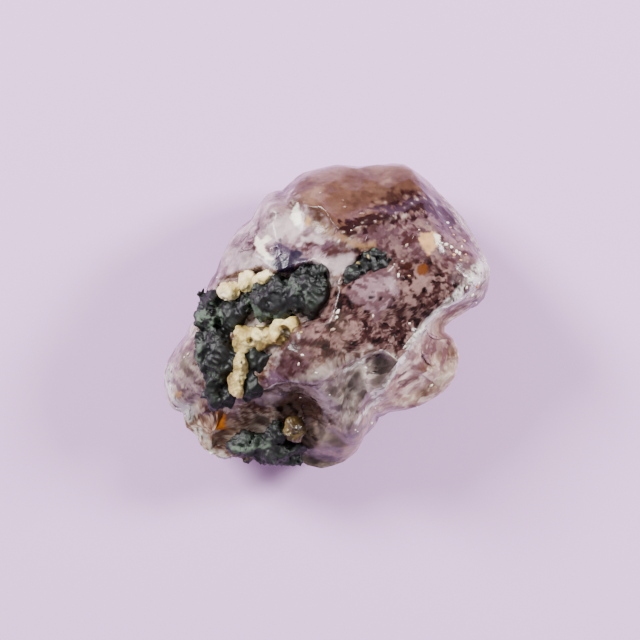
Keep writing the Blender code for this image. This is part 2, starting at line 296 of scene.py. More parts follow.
def add_colour(obj: bpy.types.Object, name: str, colour: np.ndarray) -> None:
    """Store a linear colour on each vertex."""
    layer = obj.data.attributes.new(name, "FLOAT_COLOR", "POINT")
    layer.data.foreach_set("color", np.c_[colour, np.ones(len(colour))].astype(np.float32).ravel())


def add_value(obj: bpy.types.Object, name: str, value: np.ndarray) -> None:
    """Store a number on each vertex."""
    layer = obj.data.attributes.new(name, "FLOAT", "POINT")
    layer.data.foreach_set("value", value.astype(np.float32))


@dataclass
class StoneForm:
    """The stone's form, as the solid has it: an outline seen from above, planes, ledges and swellings."""

    girdle: float = 5.6
    girdle_sway: float = 0.9
    girdle_ripple: float = 0.5
    girdle_crest: float = np.radians(80)
    girdle_room: float = 0.3
    equator_lean: float = np.radians(20)
    upper_roundness: float = 9.0
    under_roundness: float = 6.0
    bend: float = 0.4
    bend_on_ledges: float = 0.2
    upper_bend_length: float = 6.0
    under_bend_length: float = 7.5
    face_blend: float = 0.15
    crest_blend: float = 0.2
    swelling_fullness: float = 0.75
    ledge_width: float = 0.8
    dome_reach: float = 5.0
    under_cut: float = 1.0
    pocket_depth: float = 1.6
    arch_depth: float = 0.35
    rim_width: float = 0.5
    rim_start: float = 0.1
    chip_count: int = 150
    chip_depth: float = 0.5
    chip_tilt: float = 0.26
    chip_flatness: float = 3.0
    chip_lift: float = 0.1
    stone_area: float = 1500.0
    batches: int = 16
    outline: Loop = (
        (13.4, 2.7), (13.4, 4.2), (12.7, 5.9), (12.2, 6.9), (11.0, 8.8), (9.3, 10.3), (7.4, 12.1),
        (6.6, 12.6), (5.1, 12.6), (3.7, 12.6), (2.9, 12.5), (0.9, 12.5), (-0.8, 12.1), (-2.0, 11.6),
        (-2.7, 11.0), (-3.4, 10.3), (-4.0, 10.3), (-4.6, 10.1), (-5.2, 9.4), (-5.9, 8.0), (-7.0, 7.1),
        (-7.9, 5.8), (-9.0, 3.8), (-10.5, 1.1), (-11.7, -1.5), (-13.1, -3.7), (-13.4, -4.6),
        (-13.3, -6.7), (-12.8, -7.6), (-11.9, -8.0), (-11.9, -8.6), (-11.8, -9.3), (-11.0, -10.1),
        (-10.7, -10.9), (-9.8, -11.7), (-8.4, -12.2), (-7.1, -11.9), (-5.2, -12.1), (-3.7, -12.2),
        (-2.7, -11.9), (-1.5, -12.5), (-0.2, -12.7), (1.6, -12.1), (2.6, -11.1), (3.3, -10.0),
        (4.0, -9.3), (4.4, -8.4), (5.5, -8.0), (6.8, -7.9), (8.9, -7.3), (10.2, -6.5), (11.1, -5.1),
        (11.5, -3.4), (11.3, -2.3), (10.9, -1.5), (10.2, -1.0), (10.7, -0.4), (11.6, 0.4), (12.4, 1.1),
        (13.1, 1.6),
    )
    front: Face = ((2.0, 0.0, 13.9), 10, 4)
    north: Face = ((4.0, 8.4, 13.4), 92, 36)
    north_west: Face = ((-2.4, 5.5, 13.0), 148, 29)
    west: Face = ((-5.0, -1.0, 12.5), 176, 23)
    south_west: Face = ((-4.6, -5.8, 11.9), 228, 42)
    north_east: Face = ((10.3, 6.2, 12.8), 38, 48)
    under_faces: tuple[Face, ...] = (
        ((7.6, 1.0, 0.4), 5, -38), ((2.0, 7.2, 0.4), 88, -36), ((-5.0, 4.6, 0.4), 148, -34),
        ((-8.2, -4.0, 0.4), 190, -40), ((-2.0, -7.6, 0.4), -95, -40), ((5.4, -5.0, 0.4), -38, -36),
    )
    brow: Ledge = (
        (2.1, -8.6, 0.0, 0.2), (4.0, -7.4, 0.4, 0.8), (5.2, -6.3, 0.6, 1.0), (6.3, -4.8, 0.7, 1.2),
        (7.4, -2.3, 0.8, 1.5), (8.4, -1.1, 0.8, 1.5), (10.3, 1.1, 0.7, 1.3), (11.6, 2.7, 0.6, 1.0),
        (12.7, 4.7, 0.3, 0.6), (13.4, 6.5, 0.0, 0.0), (14.0, 14.0, 0.0, 0.0), (-15.0, 14.0, 0.0, 0.0),
        (-15.0, -15.0, 0.0, 0.0), (0.0, -14.0, 0.0, 0.0),
    )
    shelf: Ledge = (
        (-8.0, -8.2, 0.0, 0.2), (-5.3, -6.5, 0.3, 0.5), (-2.9, -5.1, 0.6, 0.7), (-1.0, -4.6, 0.6, 0.7),
        (0.1, -3.7, 0.7, 0.7), (1.7, -3.4, 0.7, 0.7), (3.2, -2.9, 0.7, 0.7), (4.7, -2.9, 0.6, 0.7),
        (5.9, -4.0, 0.4, 0.5), (7.6, -2.0, 0.0, 0.0), (15.0, 3.0, 0.0, 0.0), (15.0, 14.0, 0.0, 0.0),
        (-15.0, 14.0, 0.0, 0.0), (-15.0, -8.0, 0.0, 0.0),
    )
    dome: Ledge = (
        (-4.2, 12.0, 0.6, 0.0), (-3.4, 10.3, 0.6, 0.0), (-2.1, 9.5, 0.6, 0.0), (-0.6, 8.6, 0.5, 0.0),
        (0.9, 7.5, 0.4, 0.0), (2.6, 5.8, 0.0, 0.0), (15.0, 5.0, 0.0, 0.0), (15.0, 14.0, 0.0, 0.0),
        (-4.0, 14.0, 0.3, 0.0),
    )
    swellings: tuple[Lump, ...] = (
        (12.0, 3.2, 9.2, 2.2, 3.4, 20, 3.5), (8.2, -4.3, 9.4, 3.9, 3.6, 30, 4.6),
        (0.8, -9.8, 8.6, 3.9, 3.2, 20, 4.4), (-9.6, -9.8, 7.0, 2.8, 2.2, -40, 3.0),
        (-12.0, -5.6, 7.6, 2.2, 2.6, 0, 3.0), (-4.3, 9.0, 11.4, 1.8, 1.8, 0, 2.0),
        (2.9, -6.8, 12.1, 3.0, 2.1, -75, 3.2), (3.4, -5.3, 12.9, 1.8, 1.7, 0, 2.5),
    )
    pocket: Loop = (
        (-9.9, 1.7), (-8.6, 3.4), (-5.2, 4.2), (-4.2, 3.6), (-1.0, 4.6), (0.4, 3.9), (1.1, 2.2),
        (0.3, -0.2), (-2.3, -1.0), (-5.2, -5.2), (-5.6, -6.9), (-7.9, -7.8), (-9.6, -7.1),
        (-10.4, -3.9), (-10.8, -0.9),
    )
    slot: Loop = (
        (1.1, 2.6), (1.7, 4.1), (2.8, 5.1), (3.9, 5.8), (4.9, 5.2), (5.7, 4.4), (5.1, 3.8), (3.6, 3.5),
        (2.0, 2.5),
    )
    slot_depth: float = 0.4
    arch: Loop = (
        (-4.2, -8.2), (-3.6, -7.1), (-2.1, -6.7), (-0.6, -7.2), (-0.1, -8.2), (-0.6, -9.3),
        (-1.6, -10.3), (-2.9, -10.6), (-3.7, -9.6),
    )

    def outline_radius(self, angle: np.ndarray) -> np.ndarray:
        """Distance from the origin to the outline, even between the outline's corners.

        Args:
            angle: the asked headings.

        Returns:
            A distance for each heading.
        """
        points = np.array(self.outline)
        angles = np.arctan2(points[:, 1], points[:, 0])
        return np.interp(angle, angles, np.hypot(points[:, 0], points[:, 1]), period=2 * np.pi)

    def bent(self, x: np.ndarray, y: np.ndarray, length: float, seed: int) -> tuple[np.ndarray, np.ndarray]:
        """Shift points sideways by waves, so that no face is quite flat.

        Args:
            x: east of each point.
            y: north of each point.
            length: about the length of one wave.
            seed: fixes the waves.

        Returns:
            The shifted east and north.
        """
        flat = np.stack([x, y], 1)
        return x + self.bend * waves(flat, length, seed), y + self.bend * waves(flat, length, seed + 2)

    def upper_height(self, x: np.ndarray, y: np.ndarray) -> np.ndarray:
        """Height of the upper side: the lowest of its faces, less its ledges, with its swellings on top.

        Args:
            x: east of each point.
            y: north of each point.

        Returns:
            A height for each point.
        """
        wx, wy = self.bent(x, y, self.upper_bend_length, 11)
        faces = (self.front, self.north, self.north_west, self.west, self.south_west, self.north_east)
        height = -soft_max([-plane_height(face, wx, wy) for face in faces], self.face_blend)
        lx = x + self.bend_on_ledges * (wx - x)
        ly = y + self.bend_on_ledges * (wy - y)
        for ledge, reach in ((self.brow, np.inf), (self.shelf, np.inf), (self.dome, self.dome_reach)):
            inside, values = loop_distance(lx, ly, np.array(ledge))
            outside = np.maximum(-inside, 0)
            step = values[:, 0] * smooth_step(outside / self.ledge_width)
            height = height - step * np.exp(-outside / reach) - values[:, 1] * outside
        domes = []
        for cx, cy, crest, long, short, turn, fall in self.swellings:
            turn = np.radians(turn)
            u = ((wx - cx) * np.cos(turn) + (wy - cy) * np.sin(turn)) / long
            v = ((wy - cy) * np.cos(turn) - (wx - cx) * np.sin(turn)) / short
            domes.append(crest - fall * (u * u + v * v) * self.swelling_fullness)
        return soft_max([height] + domes, self.crest_blend)

    def under_height(self, x: np.ndarray, y: np.ndarray) -> np.ndarray:
        """Height of the back: the highest of its faces, and level below the flat patch.

        Args:
            x: east of each point.
            y: north of each point.

        Returns:
            A height for each point.
        """
        wx, wy = self.bent(x, y, self.under_bend_length, 21)
        rising = [plane_height(face, wx, wy) for face in self.under_faces]
        return soft_max([np.full_like(x, -self.under_cut)] + rising, self.crest_blend)

    def surface(self, directions: np.ndarray) -> tuple[np.ndarray, np.ndarray]:
        """Points of the stone without hollows or chips.

        The share of the way out is the sine of the lean from the pole over the lean at the edge. The
        height is the girdle's, plus its distance to the side's own height times the root of one less a
        high power of that share, so that the side turns over only near the outline.

        Args:
            directions: rows of length 1, from the stone's middle.

        Returns:
            The points, and each one's share of the way from the middle out to the outline.
        """
        angle = np.arctan2(directions[:, 1], directions[:, 0])
        lean = np.arccos(np.clip(directions[:, 2], -1, 1))
        edge = np.pi / 2 + self.equator_lean
        upper = lean < edge
        share = np.sin(np.where(upper, lean / edge, (np.pi - lean) / (np.pi - edge)) * np.pi / 2)
        reach = self.outline_radius(angle) * share
        x = reach * np.cos(angle)
        y = reach * np.sin(angle)
        girdle = self.girdle + self.girdle_sway * np.cos(angle - self.girdle_crest)
        girdle = girdle + self.girdle_ripple * np.sin(3 * angle + 1)
        rise = np.maximum(self.upper_height(x, y), girdle + self.girdle_room) - girdle
        drop = girdle - np.minimum(self.under_height(x, y), girdle - self.girdle_room)
        top = girdle + rise * np.sqrt(np.clip(1 - share ** self.upper_roundness, 0, 1))
        low = girdle - drop * np.sqrt(np.clip(1 - share ** self.under_roundness, 0, 1))
        return np.stack([x, y, np.where(upper, top, low)], 1), share

    def chips(self, points: np.ndarray, count: int, seed: int) -> np.ndarray:
        """Scallops with sharp ridges between them.

        Each chip is a tilted bowl, and the highest bowl at a point is taken from the square of the
        point's distance over twice the bowls' radius.

        Args:
            points: the stone's points.
            count: how many chips there are.
            seed: fixes the chips.

        Returns:
            Each point's height over the mean, in standard deviations.
        """
        rng = np.random.default_rng(seed)
        directions = rng.normal(size=(count, 3))
        directions /= np.linalg.norm(directions, axis=1, keepdims=True)
        centres, _ = self.surface(directions)
        size = np.sqrt(self.stone_area / count)
        radius = size * self.chip_flatness
        tilt = rng.normal(size=(count, 3)) * self.chip_tilt
        rise = rng.uniform(-self.chip_lift, self.chip_lift, count) * size
        constant = rise - (tilt * centres).sum(1) - (centres * centres).sum(1) / (2 * radius)
        slope = (tilt + centres / radius).T
        parts = np.array_split(points, self.batches)
        envelope = np.concatenate([(part @ slope + constant).max(1) for part in parts])
        depth = (points * points).sum(1) / (2 * radius) - envelope
        return (depth - depth.mean()) / depth.std()

    def hollows(self, points: np.ndarray) -> np.ndarray:
        """How far the pocket, the slot and the arched hollow are cut down: the deepest of the three.

        Args:
            points: the stone's points.

        Returns:
            A depth for each point.
        """
        x, y, z = points.T
        floor = plane_height(self.west, x, y) - self.pocket_depth
        depths = (np.maximum(z - floor, 0), self.slot_depth, self.arch_depth)
        cuts = []
        for loop, depth in zip((self.pocket, self.slot, self.arch), depths):
            inside, _ = loop_distance(x, y, np.array(loop))
            cuts.append(depth * smooth_step((inside + self.rim_start) / self.rim_width))
        return np.where(z > self.girdle, np.max(cuts, 0), 0)


class Tone(Enum):
    """The stone's colours, as they show on a screen."""

    BLACK_RED = (30, 9, 12)
    MAROON = (56, 24, 30)
    PLUM = (84, 56, 56)
    MAUVE = (150, 126, 122)
    UMBER = (96, 70, 60)
    BROWN = (120, 93, 82)
    FAWN = (152, 126, 112)
    TAN_BAND = (158, 130, 106)
    PEACH = (214, 178, 140)
    SMOKE_DARK = (92, 80, 78)
    SMOKE = (140, 126, 122)
    SMOKE_LIGHT = (192, 180, 174)
    LILAC_DARK = (116, 92, 98)
    LILAC = (164, 142, 148)
    LILAC_LIGHT = (204, 188, 190)
    VIOLET = (78, 60, 86)
    INK = (44, 34, 58)
    ROSE_DARK = (120, 90, 80)
    ROSE = (178, 156, 144)
    ROSE_LIGHT = (220, 206, 194)
    STEEL = (212, 208, 204)
    CREAM = (250, 238, 224)
    AMBER = (118, 76, 42)
    HONEY = (214, 142, 56)
    RUST = (70, 34, 20)
    BLACK = (10, 9, 12)
    GREEN_BLACK = (14, 18, 16)
    MOSS = (38, 50, 38)
    SAGE = (104, 116, 102)
    BLUE_BLACK = (14, 12, 26)
    BONE = (228, 216, 174)
    STRAW = (194, 176, 124)
    DUST = (130, 112, 74)
    OLIVE = (96, 80, 50)
    OLIVE_DARK = (60, 42, 16)

    @property
    def light(self) -> np.ndarray:
        """The colour in linear light, made stronger and deeper, because the film curve flattens both.

        Its distance from grey is scaled, and then its share of the pivot is raised to a power.
        """
        value = srgb(*self.value)
        value = np.clip(value.mean() + TONE_STRENGTH * (value - value.mean()), TONE_FLOOR, 1)
        return TONE_PIVOT * (value / TONE_PIVOT) ** TONE_DEPTH


class Canvas:
    """The colours of a mesh's points, painted from above with shapes that have ragged edges."""

    rag_length = 0.9
    rag_height = 0.5
    fade_height = 0.8
    bend_lengths = 1.8
    bend_share = 0.22
    grain_stretch = 1.5

    def __init__(self, points: np.ndarray, side_level: float = -99.0) -> None:
        """Start an unpainted canvas.

        Args:
            points: the mesh's points.
            side_level: the height below which shapes fade out, so that they stay off the back.
        """
        self.points = points
        self.x, self.y, self.z = points.T
        self.colour = np.zeros((len(points), 3))
        self.frost = np.zeros(len(points))
        self.rag = cloud(points, self.rag_length, 41) * self.rag_height
        self.reach = smooth_step((self.z - side_level) / self.fade_height)
        self.cache: dict[tuple[float, float], tuple[np.ndarray, np.ndarray]] = {}

    @classmethod
    def of(cls, points: np.ndarray, colour: np.ndarray, frost: np.ndarray) -> "Canvas":
        """A canvas that is painted already.

        Args:
            points: the mesh's points.
            colour: a linear colour for each point.
            frost: the frosting at each point.

        Returns:
            The canvas.
        """
        canvas = cls(points)
        canvas.colour = colour
        canvas.frost = frost
        return canvas

    def mosaic(self, size: float, turn: float) -> tuple[np.ndarray, np.ndarray]:
        """Warped grains, longer along the turn.

        Args:
            size: the grains' pitch.
            turn: the heading that the grains are stretched along, in degrees.

        Returns:
            Each point's grain value, and its distance to the grain's border over the pitch.
        """
        if (size, turn) not in self.cache:
            length = self.bend_lengths * size
            bend = np.stack([cloud(self.points, length, 51 + k, 2) for k in range(3)], 1)
            warped = self.points + self.bend_share * size * bend
            a = np.radians(turn)
            along = warped[:, 0] * np.cos(a) + warped[:, 1] * np.sin(a)
            across = warped[:, 1] * np.cos(a) - warped[:, 0] * np.sin(a)
            stretched = np.stack([along / self.grain_stretch, across, warped[:, 2]], 1)
            self.cache[size, turn] = grains(stretched, size, int(1000 * size + turn))
        return self.cache[size, turn]

    def lay(self, mask: np.ndarray, colour: np.ndarray, frost: float | None = None) -> None:
        """Mix a colour, and a frosting where one is given, over the points.

        Args:
            mask: how much of the new value each point takes, 0 to 1.
            colour: one linear colour, or one for each point.
            frost: the new frosting, if there is one.
        """
        self.colour += mask[:, None] * (colour - self.colour)
        if frost is not None:
            self.frost += mask * (frost - self.frost)


@dataclass(frozen=True)
class Spot:
    """An ellipse seen from above."""

    centre: Point2
    long: float
    short: float
    turn: float = 0.0

    def inside(self, canvas: Canvas) -> np.ndarray:
        """Distance inside the ellipse's edge, about: the short radius times one less the scaled distance.

        Args:
            canvas: what is painted on.

        Returns:
            A distance for each point, negative outside.
        """
        a = np.radians(self.turn)
        dx = canvas.x - self.centre[0]
        dy = canvas.y - self.centre[1]
        along = (dx * np.cos(a) + dy * np.sin(a)) / self.long
        across = (dy * np.cos(a) - dx * np.sin(a)) / self.short
        return (1 - np.hypot(along, across)) * self.short


@dataclass(frozen=True)
class Patch:
    """A closed loop seen from above."""

    loop: Loop

    def inside(self, canvas: Canvas) -> np.ndarray:
        """Distance inside the loop."""
        return loop_distance(canvas.x, canvas.y, np.array(self.loop))[0]


@dataclass(frozen=True)
class Stroke:
    """A line of a given width seen from above."""

    line: Loop
    width: float

    def inside(self, canvas: Canvas) -> np.ndarray:
        """Half the width less the distance to the line."""
        away, _ = line_distance(canvas.x, canvas.y, np.array(self.line), False)
        return self.width / 2 - away


Shape = Spot | Patch | Stroke


@dataclass(frozen=True)
class Ground:
    """A stretch of the stone whose grains run from a dark tone over a middle one to a light one."""

    shape: Shape | None
    dark: Tone
    middle: Tone
    light: Tone
    grain: float = 0.75
    turn: float = -40.0
    bold: float = 0.9
    cloudy: float = 0.35
    web: float = 0.3
    soft: float = 1.2
    frost: float = 0.1
    small_share: float = 0.55
    small_turn: float = 70.0
    large_weight: float = 0.6
    haze_length: float = 3.2
    haze_height: float = 0.3
    web_height: float = 0.5
    web_width: float = 0.12

    def paint(self, canvas: Canvas) -> None:
        """Colour each point by its large and small grain and a cloud, with paler lines between grains.

        The tone runs from the dark colour at 0 over the middle one at a half to the light one at 1.

        Args:
            canvas: what is painted on.
        """
        large, gap = canvas.mosaic(self.grain, self.turn)
        small, _ = canvas.mosaic(self.grain * self.small_share, self.turn + self.small_turn)
        haze = cloud(canvas.points, self.haze_length, 61)
        grain = self.large_weight * (large - 0.5) + (1 - self.large_weight) * (small - 0.5)
        web = self.web * self.web_height * np.exp(-gap / self.web_width)
        tone = 0.5 + self.bold * grain + self.cloudy * self.haze_height * haze
        tone = np.clip(tone + web, 0, 1)[:, None]
        low = self.dark.light + np.clip(tone * 2, 0, 1) * (self.middle.light - self.dark.light)
        colour = low + np.clip(tone * 2 - 1, 0, 1) * (self.light.light - self.middle.light)
        mask = np.ones(len(canvas.x))
        if self.shape:
            inside = self.shape.inside(canvas) + 0.5 * canvas.rag
            mask = smooth_step(inside / self.soft + 0.5) * canvas.reach
        canvas.lay(mask, colour, self.frost)


@dataclass(frozen=True)
class Mark:
    """One mark on the stone: a shape in a tone, with a soft and ragged edge."""

    shape: Shape
    tone: Tone
    strength: float = 0.9
    soft: float = 0.15
    ragged: float = 0.12
    frost: float | None = None

    def paint(self, canvas: Canvas) -> None:
        """Mix the tone in where the shape's ragged edge is passed.

        Args:
            canvas: what is painted on.
        """
        inside = self.shape.inside(canvas) + self.ragged * canvas.rag
        mask = self.strength * smooth_step(inside / self.soft + 0.5) * canvas.reach
        canvas.lay(mask, self.tone.light, self.frost)


@dataclass(frozen=True)
class Weave:
    """Streaks of a tone along a line, broken up by grains, as on the ridge, whose pale streaks are frosting
    and painted highlight.
    """

    shape: Shape
    tone: Tone
    grain: float = 0.35
    turn: float = 45.0
    share: float = 0.5
    strength: float = 0.9
    soft: float = 0.2
    frost: float = 0.6
    ragged: float = 0.15
    grain_soft: float = 0.25

    def paint(self, canvas: Canvas) -> None:
        """Mix the tone in where the shape holds and the grain's value is under the share.

        Args:
            canvas: what is painted on.
        """
        value, _ = canvas.mosaic(self.grain, self.turn)
        inside = self.shape.inside(canvas) + self.ragged * canvas.rag
        kept = smooth_step((self.share - value) / self.grain_soft + 0.5)
        mask = self.strength * smooth_step(inside / self.soft + 0.5) * kept * canvas.reach
        canvas.lay(mask, self.tone.light, self.frost)


T = Tone
GROUNDS: tuple[Ground, ...] = (
    Ground(None, T.MAROON, T.BROWN, T.SMOKE_LIGHT, grain=0.7, bold=1.3, web=0.4, frost=0.3),
    Ground(Patch(((-5.2, -6.5), (-2.1, -1.1), (0.9, 2.7), (2.1, 6.5), (8.9, 9.5), (12.9, 4.7),
        (10.3, 1.1), (8.4, -1.1), (6.3, -3.6), (3.2, -2.9), (0.0, -3.7))), T.BLACK_RED, T.PLUM, T.MAUVE,
        grain=0.62, bold=1.6, web=0.6),
    Ground(Patch(((-3.4, 10.4), (-2.1, 11.7), (1.3, 13.2), (6.8, 13.2), (9.7, 10.7), (11.6, 7.8),
        (8.9, 9.4), (5.9, 9.2), (3.0, 7.9), (1.3, 6.8), (-0.5, 7.7), (-2.1, 8.9))), T.UMBER, T.BROWN,
        T.FAWN, grain=1.3, turn=20, bold=0.45, cloudy=0.5, web=0.05, frost=0.02),
    Ground(Patch(((2.3, 7.2), (4.0, 7.7), (7.2, 8.5), (9.7, 8.0), (12.2, 5.7), (13.1, 4.7), (11.0, 2.7),
        (8.9, 4.7), (5.9, 4.7), (3.8, 5.7))), T.PLUM, T.LILAC_DARK, T.MAUVE, grain=0.7, bold=1.4,
        web=0.4),
    Ground(Patch(((-10.0, 2.3), (-7.1, 7.8), (-4.7, 10.7), (-3.1, 10.4), (-2.1, 8.9), (-0.5, 7.2),
        (1.7, 5.8), (2.3, 5.0), (1.7, 4.0), (0.5, 3.5), (-2.1, 3.8), (-5.2, 4.0), (-8.4, 3.2))), T.PLUM,
        T.LILAC, T.LILAC_LIGHT, grain=1.0, turn=60, bold=1.1, cloudy=0.6, web=0.2, frost=0.25),
    Ground(Patch(((-5.2, -6.8), (-2.9, -5.2), (0.0, -3.8), (1.7, -3.4), (4.7, -3.0), (6.2, -4.2),
        (5.2, -6.4), (2.1, -8.6), (-0.5, -7.9), (-2.1, -6.9), (-4.6, -7.9), (-6.7, -7.9))),
        T.SMOKE_DARK, T.SMOKE, T.SMOKE_LIGHT, grain=1.0, turn=-20, bold=1.2, web=0.5),
    Ground(Patch(((-5.2, -5.7), (-2.7, -2.1), (-1.2, -1.5), (-0.8, -3.6), (-2.9, -5.7), (-5.2, -6.9))),
        T.MAROON, T.PLUM, T.LILAC_DARK, grain=0.6, bold=1.1, web=0.3),
    Ground(Patch(((2.1, -8.8), (5.2, -6.6), (7.4, -2.6), (8.9, -1.2), (12.2, 1.5), (13.1, -1.9),
        (12.2, -6.9), (6.3, -9.5))), T.ROSE_DARK, T.ROSE, T.ROSE_LIGHT, grain=1.0, turn=60, bold=1.2,
        cloudy=0.5, web=0.3, frost=0.25),
    Ground(Patch(((-2.4, -11.0), (-0.2, -8.4), (2.1, -8.6), (4.5, -7.9), (4.0, -11.1), (1.3, -13.2),
        (-2.1, -13.2))), T.SMOKE_DARK, T.SMOKE, T.ROSE, grain=0.9, turn=30, bold=1.1, web=0.4,
        frost=0.25),
    Ground(Patch(((-12.1, -6.9), (-10.0, -6.3), (-7.8, -7.8), (-5.2, -7.9), (-3.7, -8.6), (-5.8, -10.7),
        (-7.8, -12.8), (-12.1, -12.0))), T.PLUM, T.FAWN, T.ROSE_LIGHT, grain=0.6, turn=-50, bold=1.0,
        web=0.3),
    Ground(Patch(((-14.7, -8.6), (-14.7, -1.9), (-10.5, 4.0), (-9.8, 1.5), (-10.7, -2.3), (-10.0, -5.7),
        (-10.9, -8.2))), T.PLUM, T.LILAC, T.ROSE_LIGHT, grain=0.8, turn=-60, bold=0.9, web=0.2),
)

